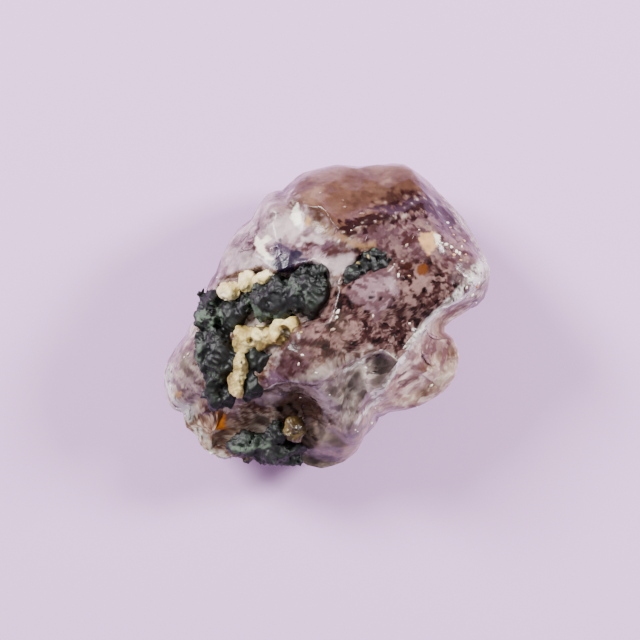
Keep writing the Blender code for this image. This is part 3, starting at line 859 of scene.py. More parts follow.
MARKS: tuple[Mark | Weave, ...] = (
    Mark(Stroke(((-1.2, 11.9), (1.7, 12.4), (6.3, 12.4), (8.4, 10.9)), 0.9), T.FAWN, 0.6, 0.7),
    Mark(Spot((5.9, 10.2), 3.4, 0.9, 8), T.UMBER, 0.7, 0.9, 0.4),
    Mark(Stroke(((2.0, 7.6), (3.2, 7.9), (5.1, 8.4), (6.5, 8.9), (7.7, 9.1), (9.0, 8.8), (10.2, 7.9)),
        1.3), T.MAROON, 0.95, 0.35, 0.6),
    Mark(Spot((6.2, 9.6), 2.0, 0.55, 15), T.MAROON, 0.7, 0.4, 0.5),
    Mark(Stroke(((-1.9, 8.1), (-0.7, 7.5), (0.6, 6.7), (2.0, 6.1), (3.2, 5.7), (4.0, 5.9)), 0.5),
        T.TAN_BAND, 0.8, 0.3),
    Mark(Spot((-3.2, 9.1), 1.3, 0.7, -50), T.BROWN, 0.5, 0.5),
    Mark(Spot((-3.4, 7.2), 1.7, 1.0, 30), T.LILAC_LIGHT, 0.8, 0.6),
    Mark(Spot((-6.5, 4.7), 2.0, 0.8, -15), T.LILAC_LIGHT, 0.6, 0.6),
    Weave(Spot((-5.2, 5.7), 2.6, 1.8, 40), T.LILAC_DARK, 0.7, 60, 0.35, 0.6),
    Mark(Spot((1.1, 4.3), 1.3, 0.7, 20), T.LILAC_LIGHT, 0.7, 0.6),
    Mark(Patch(((-4.6, 5.5), (-3.7, 6.0), (-2.9, 5.8), (-2.1, 5.5), (-1.6, 4.8), (-2.2, 4.3),
        (-2.9, 3.6), (-3.7, 3.5), (-4.3, 4.5))), T.VIOLET, 0.9, 0.35, 0.3),
    Mark(Spot((-3.3, 4.3), 0.9, 0.6, 20), T.INK, 0.8, 0.3),
    Mark(Spot((-2.3, 5.2), 0.5, 0.4, -40), T.INK, 0.8, 0.2),
    Mark(Patch(((-0.5, 6.5), (0.6, 6.5), (1.7, 6.0), (1.5, 5.3), (0.5, 5.2), (-0.2, 5.5))), T.PLUM,
        0.85, 0.3, 0.25),
    # Painted highlights: these cream and peach patches on the north-west facet stand in for reflections of
    # the lamps.
    Mark(Patch(((-2.3, 9.4), (-2.1, 8.7), (-2.0, 7.8), (-2.5, 7.6), (-2.8, 8.2), (-2.6, 8.7))), T.CREAM,
        1.0, 0.08, 0.05),
    Mark(Patch(((-1.5, 8.4), (-1.2, 8.0), (-1.5, 7.6), (-1.8, 7.7))), T.PEACH, 0.9, 0.1, 0.05),
    Mark(Patch(((-5.6, 6.7), (-5.2, 6.3), (-4.6, 6.8), (-4.4, 6.4), (-4.9, 5.9), (-4.7, 5.3),
        (-4.2, 4.7), (-4.8, 4.7), (-5.4, 5.3), (-5.7, 6.0))), T.CREAM, 0.95, 0.15, 0.1),
    Mark(Stroke(((-2.1, 6.0), (-1.8, 6.5), (-1.1, 6.7), (-0.4, 6.4)), 0.35), T.LILAC_LIGHT, 0.8, 0.2),
    Mark(Patch(((7.8, 6.8), (8.7, 6.8), (9.1, 6.5), (8.9, 5.8), (8.4, 5.1), (7.9, 5.5), (7.7, 6.2))),
        T.PEACH, 0.85, 0.2, 0.15),
    Mark(Spot((9.0, 6.3), 0.22, 0.4), T.CREAM, 0.9, 0.1),
    Mark(Patch(((1.7, 2.1), (2.6, 2.7), (3.4, 3.6), (4.5, 4.0), (5.7, 3.5), (6.2, 2.8), (5.8, 1.7),
        (5.1, 1.0), (4.8, 0.0), (4.0, -0.2), (3.5, 0.6), (2.6, 1.1))), T.LILAC_DARK, 0.85, 0.3, 0.3),
    Weave(Spot((4.0, 2.0), 2.0, 1.6), T.LILAC, 0.5, -35, 0.5, 0.7),
    Mark(Spot((3.7, 1.6), 0.14, 0.1), T.BLACK_RED, 0.9, 0.1),
    Mark(Spot((4.5, 1.5), 0.2, 0.12, 60), T.BLACK_RED, 0.9, 0.1),
    Mark(Spot((6.7, 4.1), 0.35, 0.3), T.RUST, 0.95, 0.15),
    Mark(Spot((7.9, 3.9), 0.5, 0.45), T.AMBER, 0.95, 0.2),
    Mark(Stroke(((-5.2, -6.7), (-3.9, -5.8), (-2.2, -5.1)), 0.22), T.STEEL, 0.6, 0.2),
    Mark(Stroke(((-1.0, -4.7), (0.0, -3.9), (1.3, -3.9)), 0.2), T.SMOKE_LIGHT, 0.8, 0.15),
    Mark(Stroke(((1.6, -4.1), (2.3, -3.8), (3.1, -3.5)), 0.4), T.STEEL, 0.95, 0.15, 0.1, 0.7),
    Mark(Stroke(((3.2, -3.0), (4.3, -2.9), (5.5, -3.6), (6.0, -4.2)), 0.2), T.SMOKE_LIGHT, 0.7, 0.15),
    Mark(Stroke(((4.7, -6.8), (5.3, -6.2), (6.0, -5.8)), 0.45), T.STEEL, 0.95, 0.15, 0.1, 0.7),
    Mark(Stroke(((2.6, -8.6), (3.7, -7.9), (4.7, -7.3)), 0.25), T.STEEL, 0.8, 0.15),
    Mark(Stroke(((2.6, -7.8), (4.0, -7.4), (5.2, -7.1)), 0.3), T.MAROON, 0.7, 0.2),
    Mark(Stroke(((6.5, -4.1), (7.0, -3.2), (7.5, -2.6)), 0.4), T.MAROON, 0.6, 0.4),
    # The ridge's pale streaks are part frosting and part painted highlight, where the ridge catches the
    # light from the east.
    Weave(Stroke(((13.1, 4.7), (11.9, 3.2), (10.5, 1.3), (8.9, -0.6), (7.5, -2.3), (6.7, -3.9),
        (5.9, -5.2), (4.7, -6.8)), 1.1), T.STEEL, 0.4, 48, 0.8, 0.95, 0.25),
    Weave(Stroke(((8.7, 11.6), (10.4, 9.4), (11.7, 7.2), (12.6, 5.2)), 0.9), T.SMOKE_LIGHT, 0.4, -55,
        0.5, 0.8, 0.3),
    Mark(Stroke(((9.7, -1.7), (8.9, -2.7), (9.4, -3.7), (8.9, -4.5), (8.0, -4.8)), 0.55), T.ROSE_DARK,
        0.85, 0.2),
    Mark(Spot((7.9, -3.6), 0.65, 0.5, 20), T.ROSE_DARK, 0.8, 0.25),
    Mark(Spot((10.3, -2.9), 0.8, 0.35, -70), T.ROSE_DARK, 0.5, 0.3),
    Mark(Spot((7.3, -6.2), 0.42, 0.36), T.OLIVE_DARK, 0.8, 0.12),
    Mark(Spot((7.3, -6.2), 0.2, 0.16), T.FAWN, 0.9, 0.1),
    Mark(Spot((7.1, -5.4), 0.25, 0.2), T.OLIVE_DARK, 0.8, 0.12),
    Mark(Spot((6.3, -7.4), 0.14, 0.12), T.BLACK, 0.9, 0.08),
    Mark(Spot((5.8, -6.9), 1.0, 0.7, 40), T.FAWN, 0.6, 0.4),
    # Painted highlight: a cream spot on the top of the south-east lobe.
    Mark(Spot((8.9, -5.6), 0.6, 0.35, 30), T.CREAM, 0.6, 0.3),
    Mark(Patch(((-4.1, -7.9), (-3.4, -7.0), (-2.1, -6.8), (-0.9, -7.1), (-0.4, -7.9), (-1.1, -8.9),
        (-2.2, -8.4), (-3.4, -8.9))), T.UMBER, 0.85, 0.3),
    Mark(Stroke(((-3.4, -7.1), (-2.1, -6.7), (-0.9, -7.0), (-0.3, -7.9)), 0.2), T.OLIVE_DARK, 0.8,
        0.12),
    Mark(Stroke(((-3.2, -7.7), (-2.7, -7.9), (-2.3, -8.3)), 0.25), T.BLACK_RED, 0.9, 0.1),
    Mark(Spot((-3.7, -8.1), 0.3, 0.2, 20), T.BLACK_RED, 0.9, 0.1),
    Mark(Spot((-5.7, -9.4), 0.8, 0.45, -30), T.MAROON, 0.8, 0.3),
    Mark(Spot((-3.5, -9.5), 0.6, 0.5), T.MAROON, 0.6, 0.3),
    Mark(Patch(((-9.3, -8.3), (-8.7, -8.6), (-8.0, -10.0), (-8.5, -10.0), (-9.3, -9.3))), T.HONEY, 0.95,
        0.2, 0.1),
    Mark(Spot((-9.0, -8.7), 0.45, 0.3, 60), T.RUST, 0.95, 0.15),
    Mark(Spot((-12.3, -6.6), 0.35, 0.3), T.PEACH, 0.9, 0.15),
    Weave(Stroke(((-13.1, -4.4), (-13.1, -6.1), (-12.5, -7.6), (-11.6, -7.9)), 1.3), T.STEEL, 0.5, 60,
        0.6, 0.9, 0.4),
    Weave(Stroke(((-11.6, -9.0), (-10.9, -10.7), (-9.5, -12.0), (-7.5, -12.5)), 1.0), T.STEEL, 0.5, -40,
        0.55, 0.8, 0.4),
    Mark(Stroke(((-11.5, -2.9), (-11.6, -3.9), (-11.1, -4.7)), 0.5), T.PLUM, 0.7, 0.3),
    Mark(Spot((0.5, -10.3), 1.4, 0.9, 20), T.SMOKE, 0.6, 0.6),
    Mark(Spot((2.1, -10.8), 1.0, 0.6, 40), T.ROSE, 0.7, 0.4),
)


@dataclass(frozen=True)
class Finish:
    """How a mineral's surface takes light; its colours come from the painted vertices."""

    name: str
    roughness: float
    frosted_roughness: float
    transmission: float = 0.0
    index: float = 1.55
    specular: float = 0.5
    coat: float = 0.0
    coat_roughness: float = 0.08
    speck_scale: float = 3000.0
    speck_contrast: float = 0.3
    bump_depth: float = 0.00003
    absorbed: tuple[float, float, float] = (1.0, 1.0, 1.0)
    density: float = 0.0


CLEAR_STONE = Finish("scapolite", 0.16, 0.45, specular=0.2, transmission=0.14,
    absorbed=(0.62, 0.46, 0.44), density=160.0, speck_scale=2200.0, speck_contrast=0.6)
FROSTED_SKIN = Finish("frosted_scapolite", 0.2, 0.45, speck_scale=3200.0, speck_contrast=0.2, coat=0.4)
DARK_STONE = Finish("dark_mineral", 0.55, 0.65, speck_scale=2600.0, speck_contrast=0.4,
    bump_depth=0.00002)
TAN_STONE = Finish("tan_mineral", 0.5, 0.6, coat=0.1, speck_scale=2600.0, bump_depth=0.00002)
OLIVE_STONE = Finish("olive_mineral", 0.4, 0.6, coat=0.2, speck_scale=2600.0, bump_depth=0.00002)
# Finish of the glint plates; their cream colours are painted glints.
PAINTED_GLINT_FACET = Finish("painted_glint_facet", 0.3, 0.4, coat=0.2, speck_scale=5000.0, speck_contrast=0.1)


class Looks:
    """Makes each finish's material once; they share one group that speckles a colour."""

    cell_weight = 0.5
    mean_height = 0.75
    noise_detail = 3.0

    def __init__(self) -> None:
        """Build the shared group."""
        self.group = self.speckle_group()
        self.made: dict[str, bpy.types.Material] = {}

    def speckle_group(self) -> bpy.types.NodeTree:
        """A group that takes a colour, a scale and a contrast and gives a speckled colour and a height.

        The height is half the cells' value plus the noise. The colour is scaled by one plus the
        contrast times the height less its mean.

        Returns:
            The group.
        """
        tree = bpy.data.node_groups.new("speckle", "ShaderNodeTree")
        sockets = (
            ("Color", "INPUT", "NodeSocketColor"),
            ("Scale", "INPUT", "NodeSocketFloat"),
            ("Contrast", "INPUT", "NodeSocketFloat"),
            ("Color", "OUTPUT", "NodeSocketColor"),
            ("Height", "OUTPUT", "NodeSocketFloat"),
        )
        for name, side, kind in sockets:
            tree.interface.new_socket(name, in_out=side, socket_type=kind)
        nodes = tree.nodes
        link = tree.links.new
        given = nodes.new("NodeGroupInput")
        result = nodes.new("NodeGroupOutput")
        place = nodes.new("ShaderNodeTexCoord")
        noise = nodes.new("ShaderNodeTexNoise")
        noise.inputs["Detail"].default_value = self.noise_detail
        link(place.outputs["Object"], noise.inputs["Vector"])
        link(given.outputs["Scale"], noise.inputs["Scale"])
        cells = nodes.new("ShaderNodeTexVoronoi")
        link(place.outputs["Object"], cells.inputs["Vector"])
        link(given.outputs["Scale"], cells.inputs["Scale"])
        mean = nodes.new("ShaderNodeMath")
        mean.operation = "MULTIPLY_ADD"
        mean.inputs[1].default_value = self.cell_weight
        link(cells.outputs["Color"], mean.inputs[0])
        link(noise.outputs["Fac"], mean.inputs[2])
        centred = nodes.new("ShaderNodeMath")
        centred.operation = "SUBTRACT"
        centred.inputs[1].default_value = self.mean_height
        link(mean.outputs[0], centred.inputs[0])
        gain = nodes.new("ShaderNodeMath")
        gain.operation = "MULTIPLY_ADD"
        gain.inputs[2].default_value = 1.0
        link(centred.outputs[0], gain.inputs[0])
        link(given.outputs["Contrast"], gain.inputs[1])
        scaled = nodes.new("ShaderNodeVectorMath")
        scaled.operation = "SCALE"
        link(given.outputs["Color"], scaled.inputs[0])
        link(gain.outputs[0], scaled.inputs["Scale"])
        link(scaled.outputs["Vector"], result.inputs["Color"])
        link(mean.outputs[0], result.inputs["Height"])
        return tree

    def material(self, finish: Finish) -> bpy.types.Material:
        """Painted colour, speckled, with a fine bump and a roughness that follows the frost.

        Args:
            finish: the finish asked for.

        Returns:
            Its material, which is made once.
        """
        if finish.name in self.made:
            return self.made[finish.name]
        material = bpy.data.materials.new(finish.name)
        material.use_nodes = True
        nodes = material.node_tree.nodes
        link = material.node_tree.links.new
        shader = nodes["Principled BSDF"]
        paint = nodes.new("ShaderNodeAttribute")
        paint.attribute_name = "paint"
        speckle = nodes.new("ShaderNodeGroup")
        speckle.node_tree = self.group
        speckle.inputs["Scale"].default_value = finish.speck_scale
        speckle.inputs["Contrast"].default_value = finish.speck_contrast
        link(paint.outputs["Color"], speckle.inputs["Color"])
        link(speckle.outputs["Color"], shader.inputs["Base Color"])
        bump = nodes.new("ShaderNodeBump")
        bump.inputs["Distance"].default_value = finish.bump_depth
        bump.inputs["Strength"].default_value = 1.0
        link(speckle.outputs["Height"], bump.inputs["Height"])
        link(bump.outputs["Normal"], shader.inputs["Normal"])
        frost = nodes.new("ShaderNodeAttribute")
        frost.attribute_name = "frost"
        spread = nodes.new("ShaderNodeMapRange")
        spread.inputs["To Min"].default_value = finish.roughness
        spread.inputs["To Max"].default_value = finish.frosted_roughness
        link(frost.outputs["Fac"], spread.inputs["Value"])
        link(spread.outputs["Result"], shader.inputs["Roughness"])
        shader.inputs["IOR"].default_value = finish.index
        shader.inputs["Specular IOR Level"].default_value = finish.specular
        shader.inputs["Metallic"].default_value = 0.0
        shader.inputs["Transmission Weight"].default_value = finish.transmission
        shader.inputs["Coat Weight"].default_value = finish.coat
        shader.inputs["Coat Roughness"].default_value = finish.coat_roughness
        if finish.density:
            body = nodes.new("ShaderNodeVolumeAbsorption")
            body.inputs["Color"].default_value = (*finish.absorbed, 1.0)
            body.inputs["Density"].default_value = finish.density
            link(body.outputs["Volume"], nodes["Material Output"].inputs["Volume"])
        self.made[finish.name] = material
        return material


def finish_piece(obj: bpy.types.Object, canvas: Canvas, looks: Looks, finish: Finish) -> bpy.types.Object:
    """Give a piece its painted values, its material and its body.

    Args:
        obj: the piece.
        canvas: its painted points.
        looks: where materials come from.
        finish: the piece's finish.

    Returns:
        The same piece.
    """
    add_colour(obj, "paint", np.clip(canvas.colour, 0, 1))
    add_value(obj, "frost", np.clip(canvas.frost, 0, 1))
    obj.data.materials.append(looks.material(finish))
    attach(obj, ROOT)
    LOG.info("%s: %d faces", obj.name, len(obj.data.polygons))
    return obj


@dataclass(frozen=True)
class GlintFleck:
    """A small plate on the stone, painted pale as a glint off a tiny facet: where it is, how long it is,
    and its tone.
    """

    centre: Point2
    size: float
    tone: Tone = Tone.CREAM
    turn: float = 0.0


# Painted glints: pale plates where tiny facets catch the light, most of them cream, peach and honey.
GLINT_FLECKS: tuple[GlintFleck, ...] = (
    GlintFleck((10.1, 7.7), 0.3), GlintFleck((10.3, 7.4), 0.22, T.PEACH), GlintFleck((9.8, 5.9), 0.35, T.CREAM, 20),
    GlintFleck((10.3, 5.8), 0.4, T.CREAM, 10), GlintFleck((10.7, 5.4), 0.4, T.CREAM, 60),
    GlintFleck((11.0, 5.2), 0.35, T.CREAM, 80), GlintFleck((10.5, 5.1), 0.35, T.PEACH, 30),
    GlintFleck((11.4, 6.3), 0.25, T.PEACH, 60), GlintFleck((11.2, 5.8), 0.28, T.CREAM, 60),
    GlintFleck((11.5, 5.1), 0.2, T.PEACH), GlintFleck((11.1, 4.6), 0.22, T.PEACH),
    GlintFleck((9.5, 6.0), 0.2, T.CREAM), GlintFleck((10.5, 6.8), 0.18, T.PEACH),
    GlintFleck((12.6, 2.8), 0.4, T.CREAM, 60), GlintFleck((12.5, 2.6), 0.3, T.HONEY, 60),
    GlintFleck((12.1, 1.8), 0.42, T.CREAM, 80), GlintFleck((11.6, 2.5), 0.25, T.CREAM, 70),
    GlintFleck((12.6, 1.2), 0.2, T.CREAM), GlintFleck((5.9, 3.4), 0.3, T.CREAM, 80),
    GlintFleck((1.1, 0.4), 0.35, T.CREAM, 60), GlintFleck((1.0, 0.0), 0.3, T.CREAM, 70), GlintFleck((6.9, -0.5), 0.22),
    GlintFleck((6.3, 4.5), 0.12), GlintFleck((6.8, 3.4), 0.2, T.PEACH), GlintFleck((0.6, -1.0), 0.4, T.ROSE, 30),
    GlintFleck((6.6, 5.8), 0.35, T.ROSE, 60), GlintFleck((-1.9, -1.2), 0.25, T.STRAW, 20),
    GlintFleck((-1.8, -3.0), 0.25, T.CREAM), GlintFleck((-2.1, -3.8), 0.25, T.ROSE_LIGHT, 70),
    GlintFleck((-0.7, -4.5), 0.18), GlintFleck((1.7, 9.0), 0.3, T.FAWN, 10), GlintFleck((3.0, 8.4), 0.4, T.FAWN, 10),
    GlintFleck((-0.4, 10.2), 0.12, T.ROSE_LIGHT), GlintFleck((1.5, 9.6), 0.15, T.FAWN), GlintFleck((2.1, 7.0), 0.12),
    GlintFleck((3.9, 0.1), 0.28, T.ROSE_LIGHT, 80), GlintFleck((-2.0, -6.6), 0.16), GlintFleck((0.4, -6.3), 0.16),
    GlintFleck((-3.6, -6.3), 0.16, T.STEEL), GlintFleck((-7.1, -7.6), 0.22, T.CREAM),
    GlintFleck((3.9, -8.9), 0.25, T.CREAM, 60), GlintFleck((2.5, -9.2), 0.14), GlintFleck((2.7, -9.4), 0.12),
    GlintFleck((4.2, -7.5), 0.14), GlintFleck((8.6, -9.5), 0.12), GlintFleck((-11.6, -2.1), 0.14, T.PEACH),
    GlintFleck((-11.3, -3.1), 0.28, T.ROSE_LIGHT, 30), GlintFleck((-11.6, -3.3), 0.2, T.CREAM, 30),
    GlintFleck((-9.5, -11.7), 0.4, T.CREAM, -20), GlintFleck((-9.1, -12.0), 0.35, T.CREAM, -20),
    GlintFleck((-7.9, -12.1), 0.25, T.CREAM), GlintFleck((-8.9, 3.3), 0.2), GlintFleck((7.7, 7.1), 0.12),
    GlintFleck((8.9, -5.7), 0.3, T.CREAM, 40),
)


@dataclass
class ScapoliteBody:
    """The see-through stone with its frosted skins and its plates of painted glints."""

    form: StoneForm = field(default_factory=StoneForm)
    squares: int = 124
    fine_chips: int = 1300
    fine_depth: float = 0.11
    rough_depth: float = 0.16
    paint_level: float = 4.2
    frost_level: float = 0.45
    skin_height: float = 0.035
    rim_start: float = 0.95
    rim_calm: float = 0.6
    fine_at_rim: float = 0.4
    fine_limit: float = 2.0
    ridge_start: float = 1.1
    ridge_width: float = 0.9
    ridge_strength: float = 0.35
    plate_sides: int = 6
    plate_scale: float = 0.7
    plate_narrow: float = 0.55
    plate_lift: float = 0.04
    plate_crown: float = 0.25
    plate_root: float = 0.2
    plate_tilt: float = 0.15
    plate_level: float = 0.1
    plate_skew: float = 0.3
    plate_spread: tuple[float, float] = (0.75, 1.2)

    def build(self, looks: Looks) -> list[bpy.types.Object]:
        """Shape the stone, paint it and give it its skins and flecks.

        Args:
            looks: where materials come from.

        Returns:
            The stone, its skins and its flecks.
        """
        directions, quads = cube_sphere(self.squares)
        points, share = self.form.surface(directions)
        normal = outward_normals(points, quads)
        kept = 1 - self.rim_calm * smooth_step((share - self.rim_start) / (1 - self.rim_start))
        large = self.form.chips(points, self.form.chip_count, 1)
        fine = self.form.chips(points, self.fine_chips, 2)
        canvas = self.paint(points, large)
        fine_depth = self.fine_depth + (self.rough_depth - self.fine_depth) * canvas.frost
        fine_depth = fine_depth * (self.fine_at_rim + (1 - self.fine_at_rim) * kept)
        fine = np.clip(fine, -self.fine_limit, self.fine_limit)
        relief = kept * self.form.chip_depth * large + fine_depth * fine
        points = points + normal * relief[:, None]
        points[:, 2] -= self.form.hollows(points)
        points[:, 2] = np.maximum(points[:, 2], 0)
        stone = make_piece("scapolite_body", points, quads)
        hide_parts("scapolite_crystal")
        finish_piece(stone, canvas, looks, CLEAR_STONE)
        normal = outward_normals(points, quads)
        return [stone, self.skins(looks, points, normal, quads, canvas), self.flecks(looks, points, normal)]

    def paint(self, points: np.ndarray, chips: np.ndarray) -> Canvas:
        """Lay the grounds and the marks, and pale the chips' ridges.

        Args:
            points: the stone's points.
            chips: each point's height among the large chips.

        Returns:
            The painted canvas.
        """
        canvas = Canvas(points, self.paint_level)
        for layer in GROUNDS + MARKS:
            layer.paint(canvas)
        ridge = smooth_step((chips - self.ridge_start) / self.ridge_width) * self.ridge_strength
        canvas.colour += ridge[:, None] * (Tone.ROSE.light - canvas.colour)
        return canvas

    def skins(self, looks: Looks, points: np.ndarray, normal: np.ndarray, quads: np.ndarray,
              canvas: Canvas) -> bpy.types.Object:
        """Thin closed skins over the frosted patches: each rises off the stone and meets it at its border.

        Args:
            looks: where materials come from.
            points: the stone's points.
            normal: its outward directions.
            quads: its faces.
            canvas: its painted points.

        Returns:
            One piece that holds all the skins.
        """
        frosted = (canvas.frost > self.frost_level)[quads].all(1)
        chosen = quads[frosted]
        inner = np.zeros(len(points), bool)
        inner[chosen] = True
        inner[quads[~frosted]] = False
        used = np.unique(chosen)
        number = np.full(len(points), -1)
        number[used] = np.arange(len(used))
        lifted = inner[used]
        below = number.copy()
        below[used[lifted]] = len(used) + np.arange(lifted.sum())
        high = points[used] + normal[used] * self.skin_height * lifted[:, None]
        low = points[used[lifted]] - normal[used[lifted]] * self.skin_height
        whole = inner[chosen].any(1)
        faces = np.concatenate([number[chosen[whole]], below[chosen[whole]][:, ::-1]])
        rows = np.concatenate([used, used[lifted]])
        skin = make_piece("frosted_skins", np.concatenate([high, low]), faces)
        canvas = Canvas.of(canvas.points[rows], canvas.colour[rows], canvas.frost[rows])
        return finish_piece(skin, canvas, looks, FROSTED_SKIN)

    def flecks(self, looks: Looks, points: np.ndarray, normal: np.ndarray) -> bpy.types.Object:
        """Small flat-sided plates, half sunk in the stone, whose pale colours are painted glints off tiny
        facets.

        Args:
            looks: where materials come from.
            points: the stone's points.
            normal: its outward directions.

        Returns:
            One piece that holds all the plates.
        """
        rng = np.random.default_rng(5)
        sides = self.plate_sides
        corners = []
        faces = []
        tones = []
        up = np.flatnonzero(normal[:, 2] > self.plate_level)
        for fleck in GLINT_FLECKS:
            away = np.hypot(points[up, 0] - fleck.centre[0], points[up, 1] - fleck.centre[1])
            home = up[np.argmin(away)]
            n = normal[home] + rng.normal(size=3) * self.plate_tilt
            n /= np.linalg.norm(n)
            east = np.cross((0.0, 1.0, 0.0), n)
            east /= np.linalg.norm(east)
            north = np.cross(n, east)
            a = np.arange(sides) * 2 * np.pi / sides + rng.uniform(-self.plate_skew, self.plate_skew, sides)
            long = self.plate_scale * fleck.size * rng.uniform(*self.plate_spread, sides)
            turn = np.radians(fleck.turn)
            u = long * np.cos(a)
            v = long * np.sin(a) * self.plate_narrow
            u, v = u * np.cos(turn) - v * np.sin(turn), u * np.sin(turn) + v * np.cos(turn)
            start = len(corners) * (sides + 2)
            ring = points[home] + n * self.plate_lift + u[:, None] * east + v[:, None] * north
            crown = self.plate_lift + self.plate_crown * fleck.size
            tips = points[home] + np.outer((crown, -self.plate_root), n)
            corners.append(np.concatenate([ring, tips]))
            step = np.arange(sides)
            after = (step + 1) % sides
            faces.append(start + np.stack([step, after, np.full(sides, sides)], 1))
            faces.append(start + np.stack([after, step, np.full(sides, sides + 1)], 1))
            # Each plate takes its tone, a painted glint colour.
            tones.append(np.tile(fleck.tone.light, (sides + 2, 1)))
        points = np.concatenate(corners)
        plates = make_piece("painted_glint_flecks", points, np.concatenate(faces), smooth=False)
        canvas = Canvas.of(points, np.concatenate(tones), np.zeros(len(points)))
        return finish_piece(plates, canvas, looks, PAINTED_GLINT_FACET)


def net_surface(values: np.ndarray, low: np.ndarray, pitch: float) -> tuple[np.ndarray, np.ndarray]:
    """The closed surface where values on a grid pass zero, one point in each cell that it crosses.

    Args:
        values: a value at each grid point, positive inside and negative all over the grid's rim.
        low: the grid's lowest corner.
        pitch: distance between grid points.

    Returns:
        The points, and quads that face outwards.
    """
    shape = np.array(values.shape) - 1
    total = np.zeros((*shape, 3))
    count = np.zeros(shape)
    unit = np.eye(3, dtype=int)
    for axis in range(3):
        for a in (0, 1):
            for b in (0, 1):
                start = a * unit[(axis + 1) % 3] + b * unit[(axis + 2) % 3]
                first = values[tuple(slice(s, s + n) for s, n in zip(start, shape))]
                second = values[tuple(slice(s, s + n) for s, n in zip(start + unit[axis], shape))]
                crossed = (first > 0) != (second > 0)
                total[crossed] += start
                total[crossed, axis] += first[crossed] / (first - second)[crossed]
                count += crossed
    active = count > 0
    number = np.full(shape, -1)
    number[active] = np.arange(active.sum())
    points = low + pitch * (np.argwhere(active) + total[active] / count[active][:, None])
    quads = []
    inside = values > 0
    for axis in range(3):
        here = [slice(1, -1)] * 3
        here[axis] = slice(0, -1)
        after = list(here)
        after[axis] = slice(1, None)
        leaving = inside[tuple(here)] & ~inside[tuple(after)]
        entering = ~inside[tuple(here)] & inside[tuple(after)]
        b, c = unit[(axis + 1) % 3], unit[(axis + 2) % 3]
        for mask, order in ((leaving, 1), (entering, -1)):
            at = np.argwhere(mask) + b + c
            quad = np.stack([number[tuple((at - shift).T)] for shift in (0 * b, b, b + c, c)], 1)
            quads.append(quad[:, ::order])
    return points, np.concatenate(quads)


@dataclass(frozen=True)
class Crust:
    """A knobbly growth: lumps run together, roughened, with pits cut in it."""

    name: str
    nodes: tuple[str, ...]
    slot: str
    finish: Finish
    lumps: tuple[Lump, ...]
    grounds: tuple[Ground, ...]
    marks: tuple[Mark | Weave, ...] = ()
    pits: tuple[Lump, ...] = ()
    pitch: float = 0.09
    knob: float = 0.14
    knob_length: float = 1.7
    vein: float = 0.08
    fine: float = 0.015
    grown: float = 0.0
    blend: float = 0.06
    seed: int = 3
    margin: float = 0.5
    skin_reach: float = 0.6
    vein_scale: float = 0.55
    vein_crest: float = 0.6
    fine_length: float = 0.4

    def lump_value(self, points: np.ndarray, lump: Lump, grown: float) -> np.ndarray:
        """Depth inside a stretched ball, about: its mean radius times one less the scaled distance.

        Args:
            points: the asked points.
            lump: the ball's centre, three radii and turn in degrees.
            grown: how much is added to each radius.

        Returns:
            A depth for each point, negative outside.
        """
        x, y, z, long, short, high, turn = lump
        a = np.radians(turn)
        dx, dy, dz = (points - (x, y, z)).T
        u = (dx * np.cos(a) + dy * np.sin(a)) / (long + grown)
        v = (dy * np.cos(a) - dx * np.sin(a)) / (short + grown)
        w = dz / (high + grown)
        return (1 - np.sqrt(u * u + v * v + w * w)) * (long * short * high) ** (1 / 3)

    def build(self, looks: Looks) -> bpy.types.Object:
        """Fill a grid with the growth's depth, take its surface and paint it.

        The depth is the lumps' soft highest, plus long waves, plus veins where a second set of waves
        is near zero, plus fine waves, and is cut off by the pits.

        Args:
            looks: where materials come from.

        Returns:
            The finished piece.
        """
        sizes = np.array(self.lumps)
        reach = sizes[:, 3:6].max(1)[:, None] + self.margin
        low = (sizes[:, :3] - reach).min(0)
        counts = np.ceil(((sizes[:, :3] + reach).max(0) - low) / self.pitch).astype(int) + 1
        grid = np.stack(np.meshgrid(*[np.arange(n) for n in counts], indexing="ij"), -1).reshape(-1, 3)
        points = low + grid * self.pitch
        value = soft_max([self.lump_value(points, lump, self.grown) for lump in self.lumps], self.blend)
        near = np.abs(value) < self.skin_reach
        close = points[near]
        rough = self.knob * cloud(close, self.knob_length, self.seed, 2)
        veins = np.abs(cloud(close, self.knob_length * self.vein_scale, self.seed + 7, 2))
        rough += self.vein * (self.vein_crest - veins)
        rough += self.fine * cloud(close, self.fine_length, self.seed + 13, 2)
        value[near] += rough
        for pit in self.pits:
            value = np.minimum(value, -self.lump_value(points, pit, 0.0))
        points, quads = net_surface(value.reshape(counts), low, self.pitch)
        obj = make_piece(self.name, points, quads)
        canvas = Canvas(points)
        for layer in self.grounds + self.marks:
            layer.paint(canvas)
        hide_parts(*self.nodes)
        return finish_piece(obj, canvas, looks, self.finish)


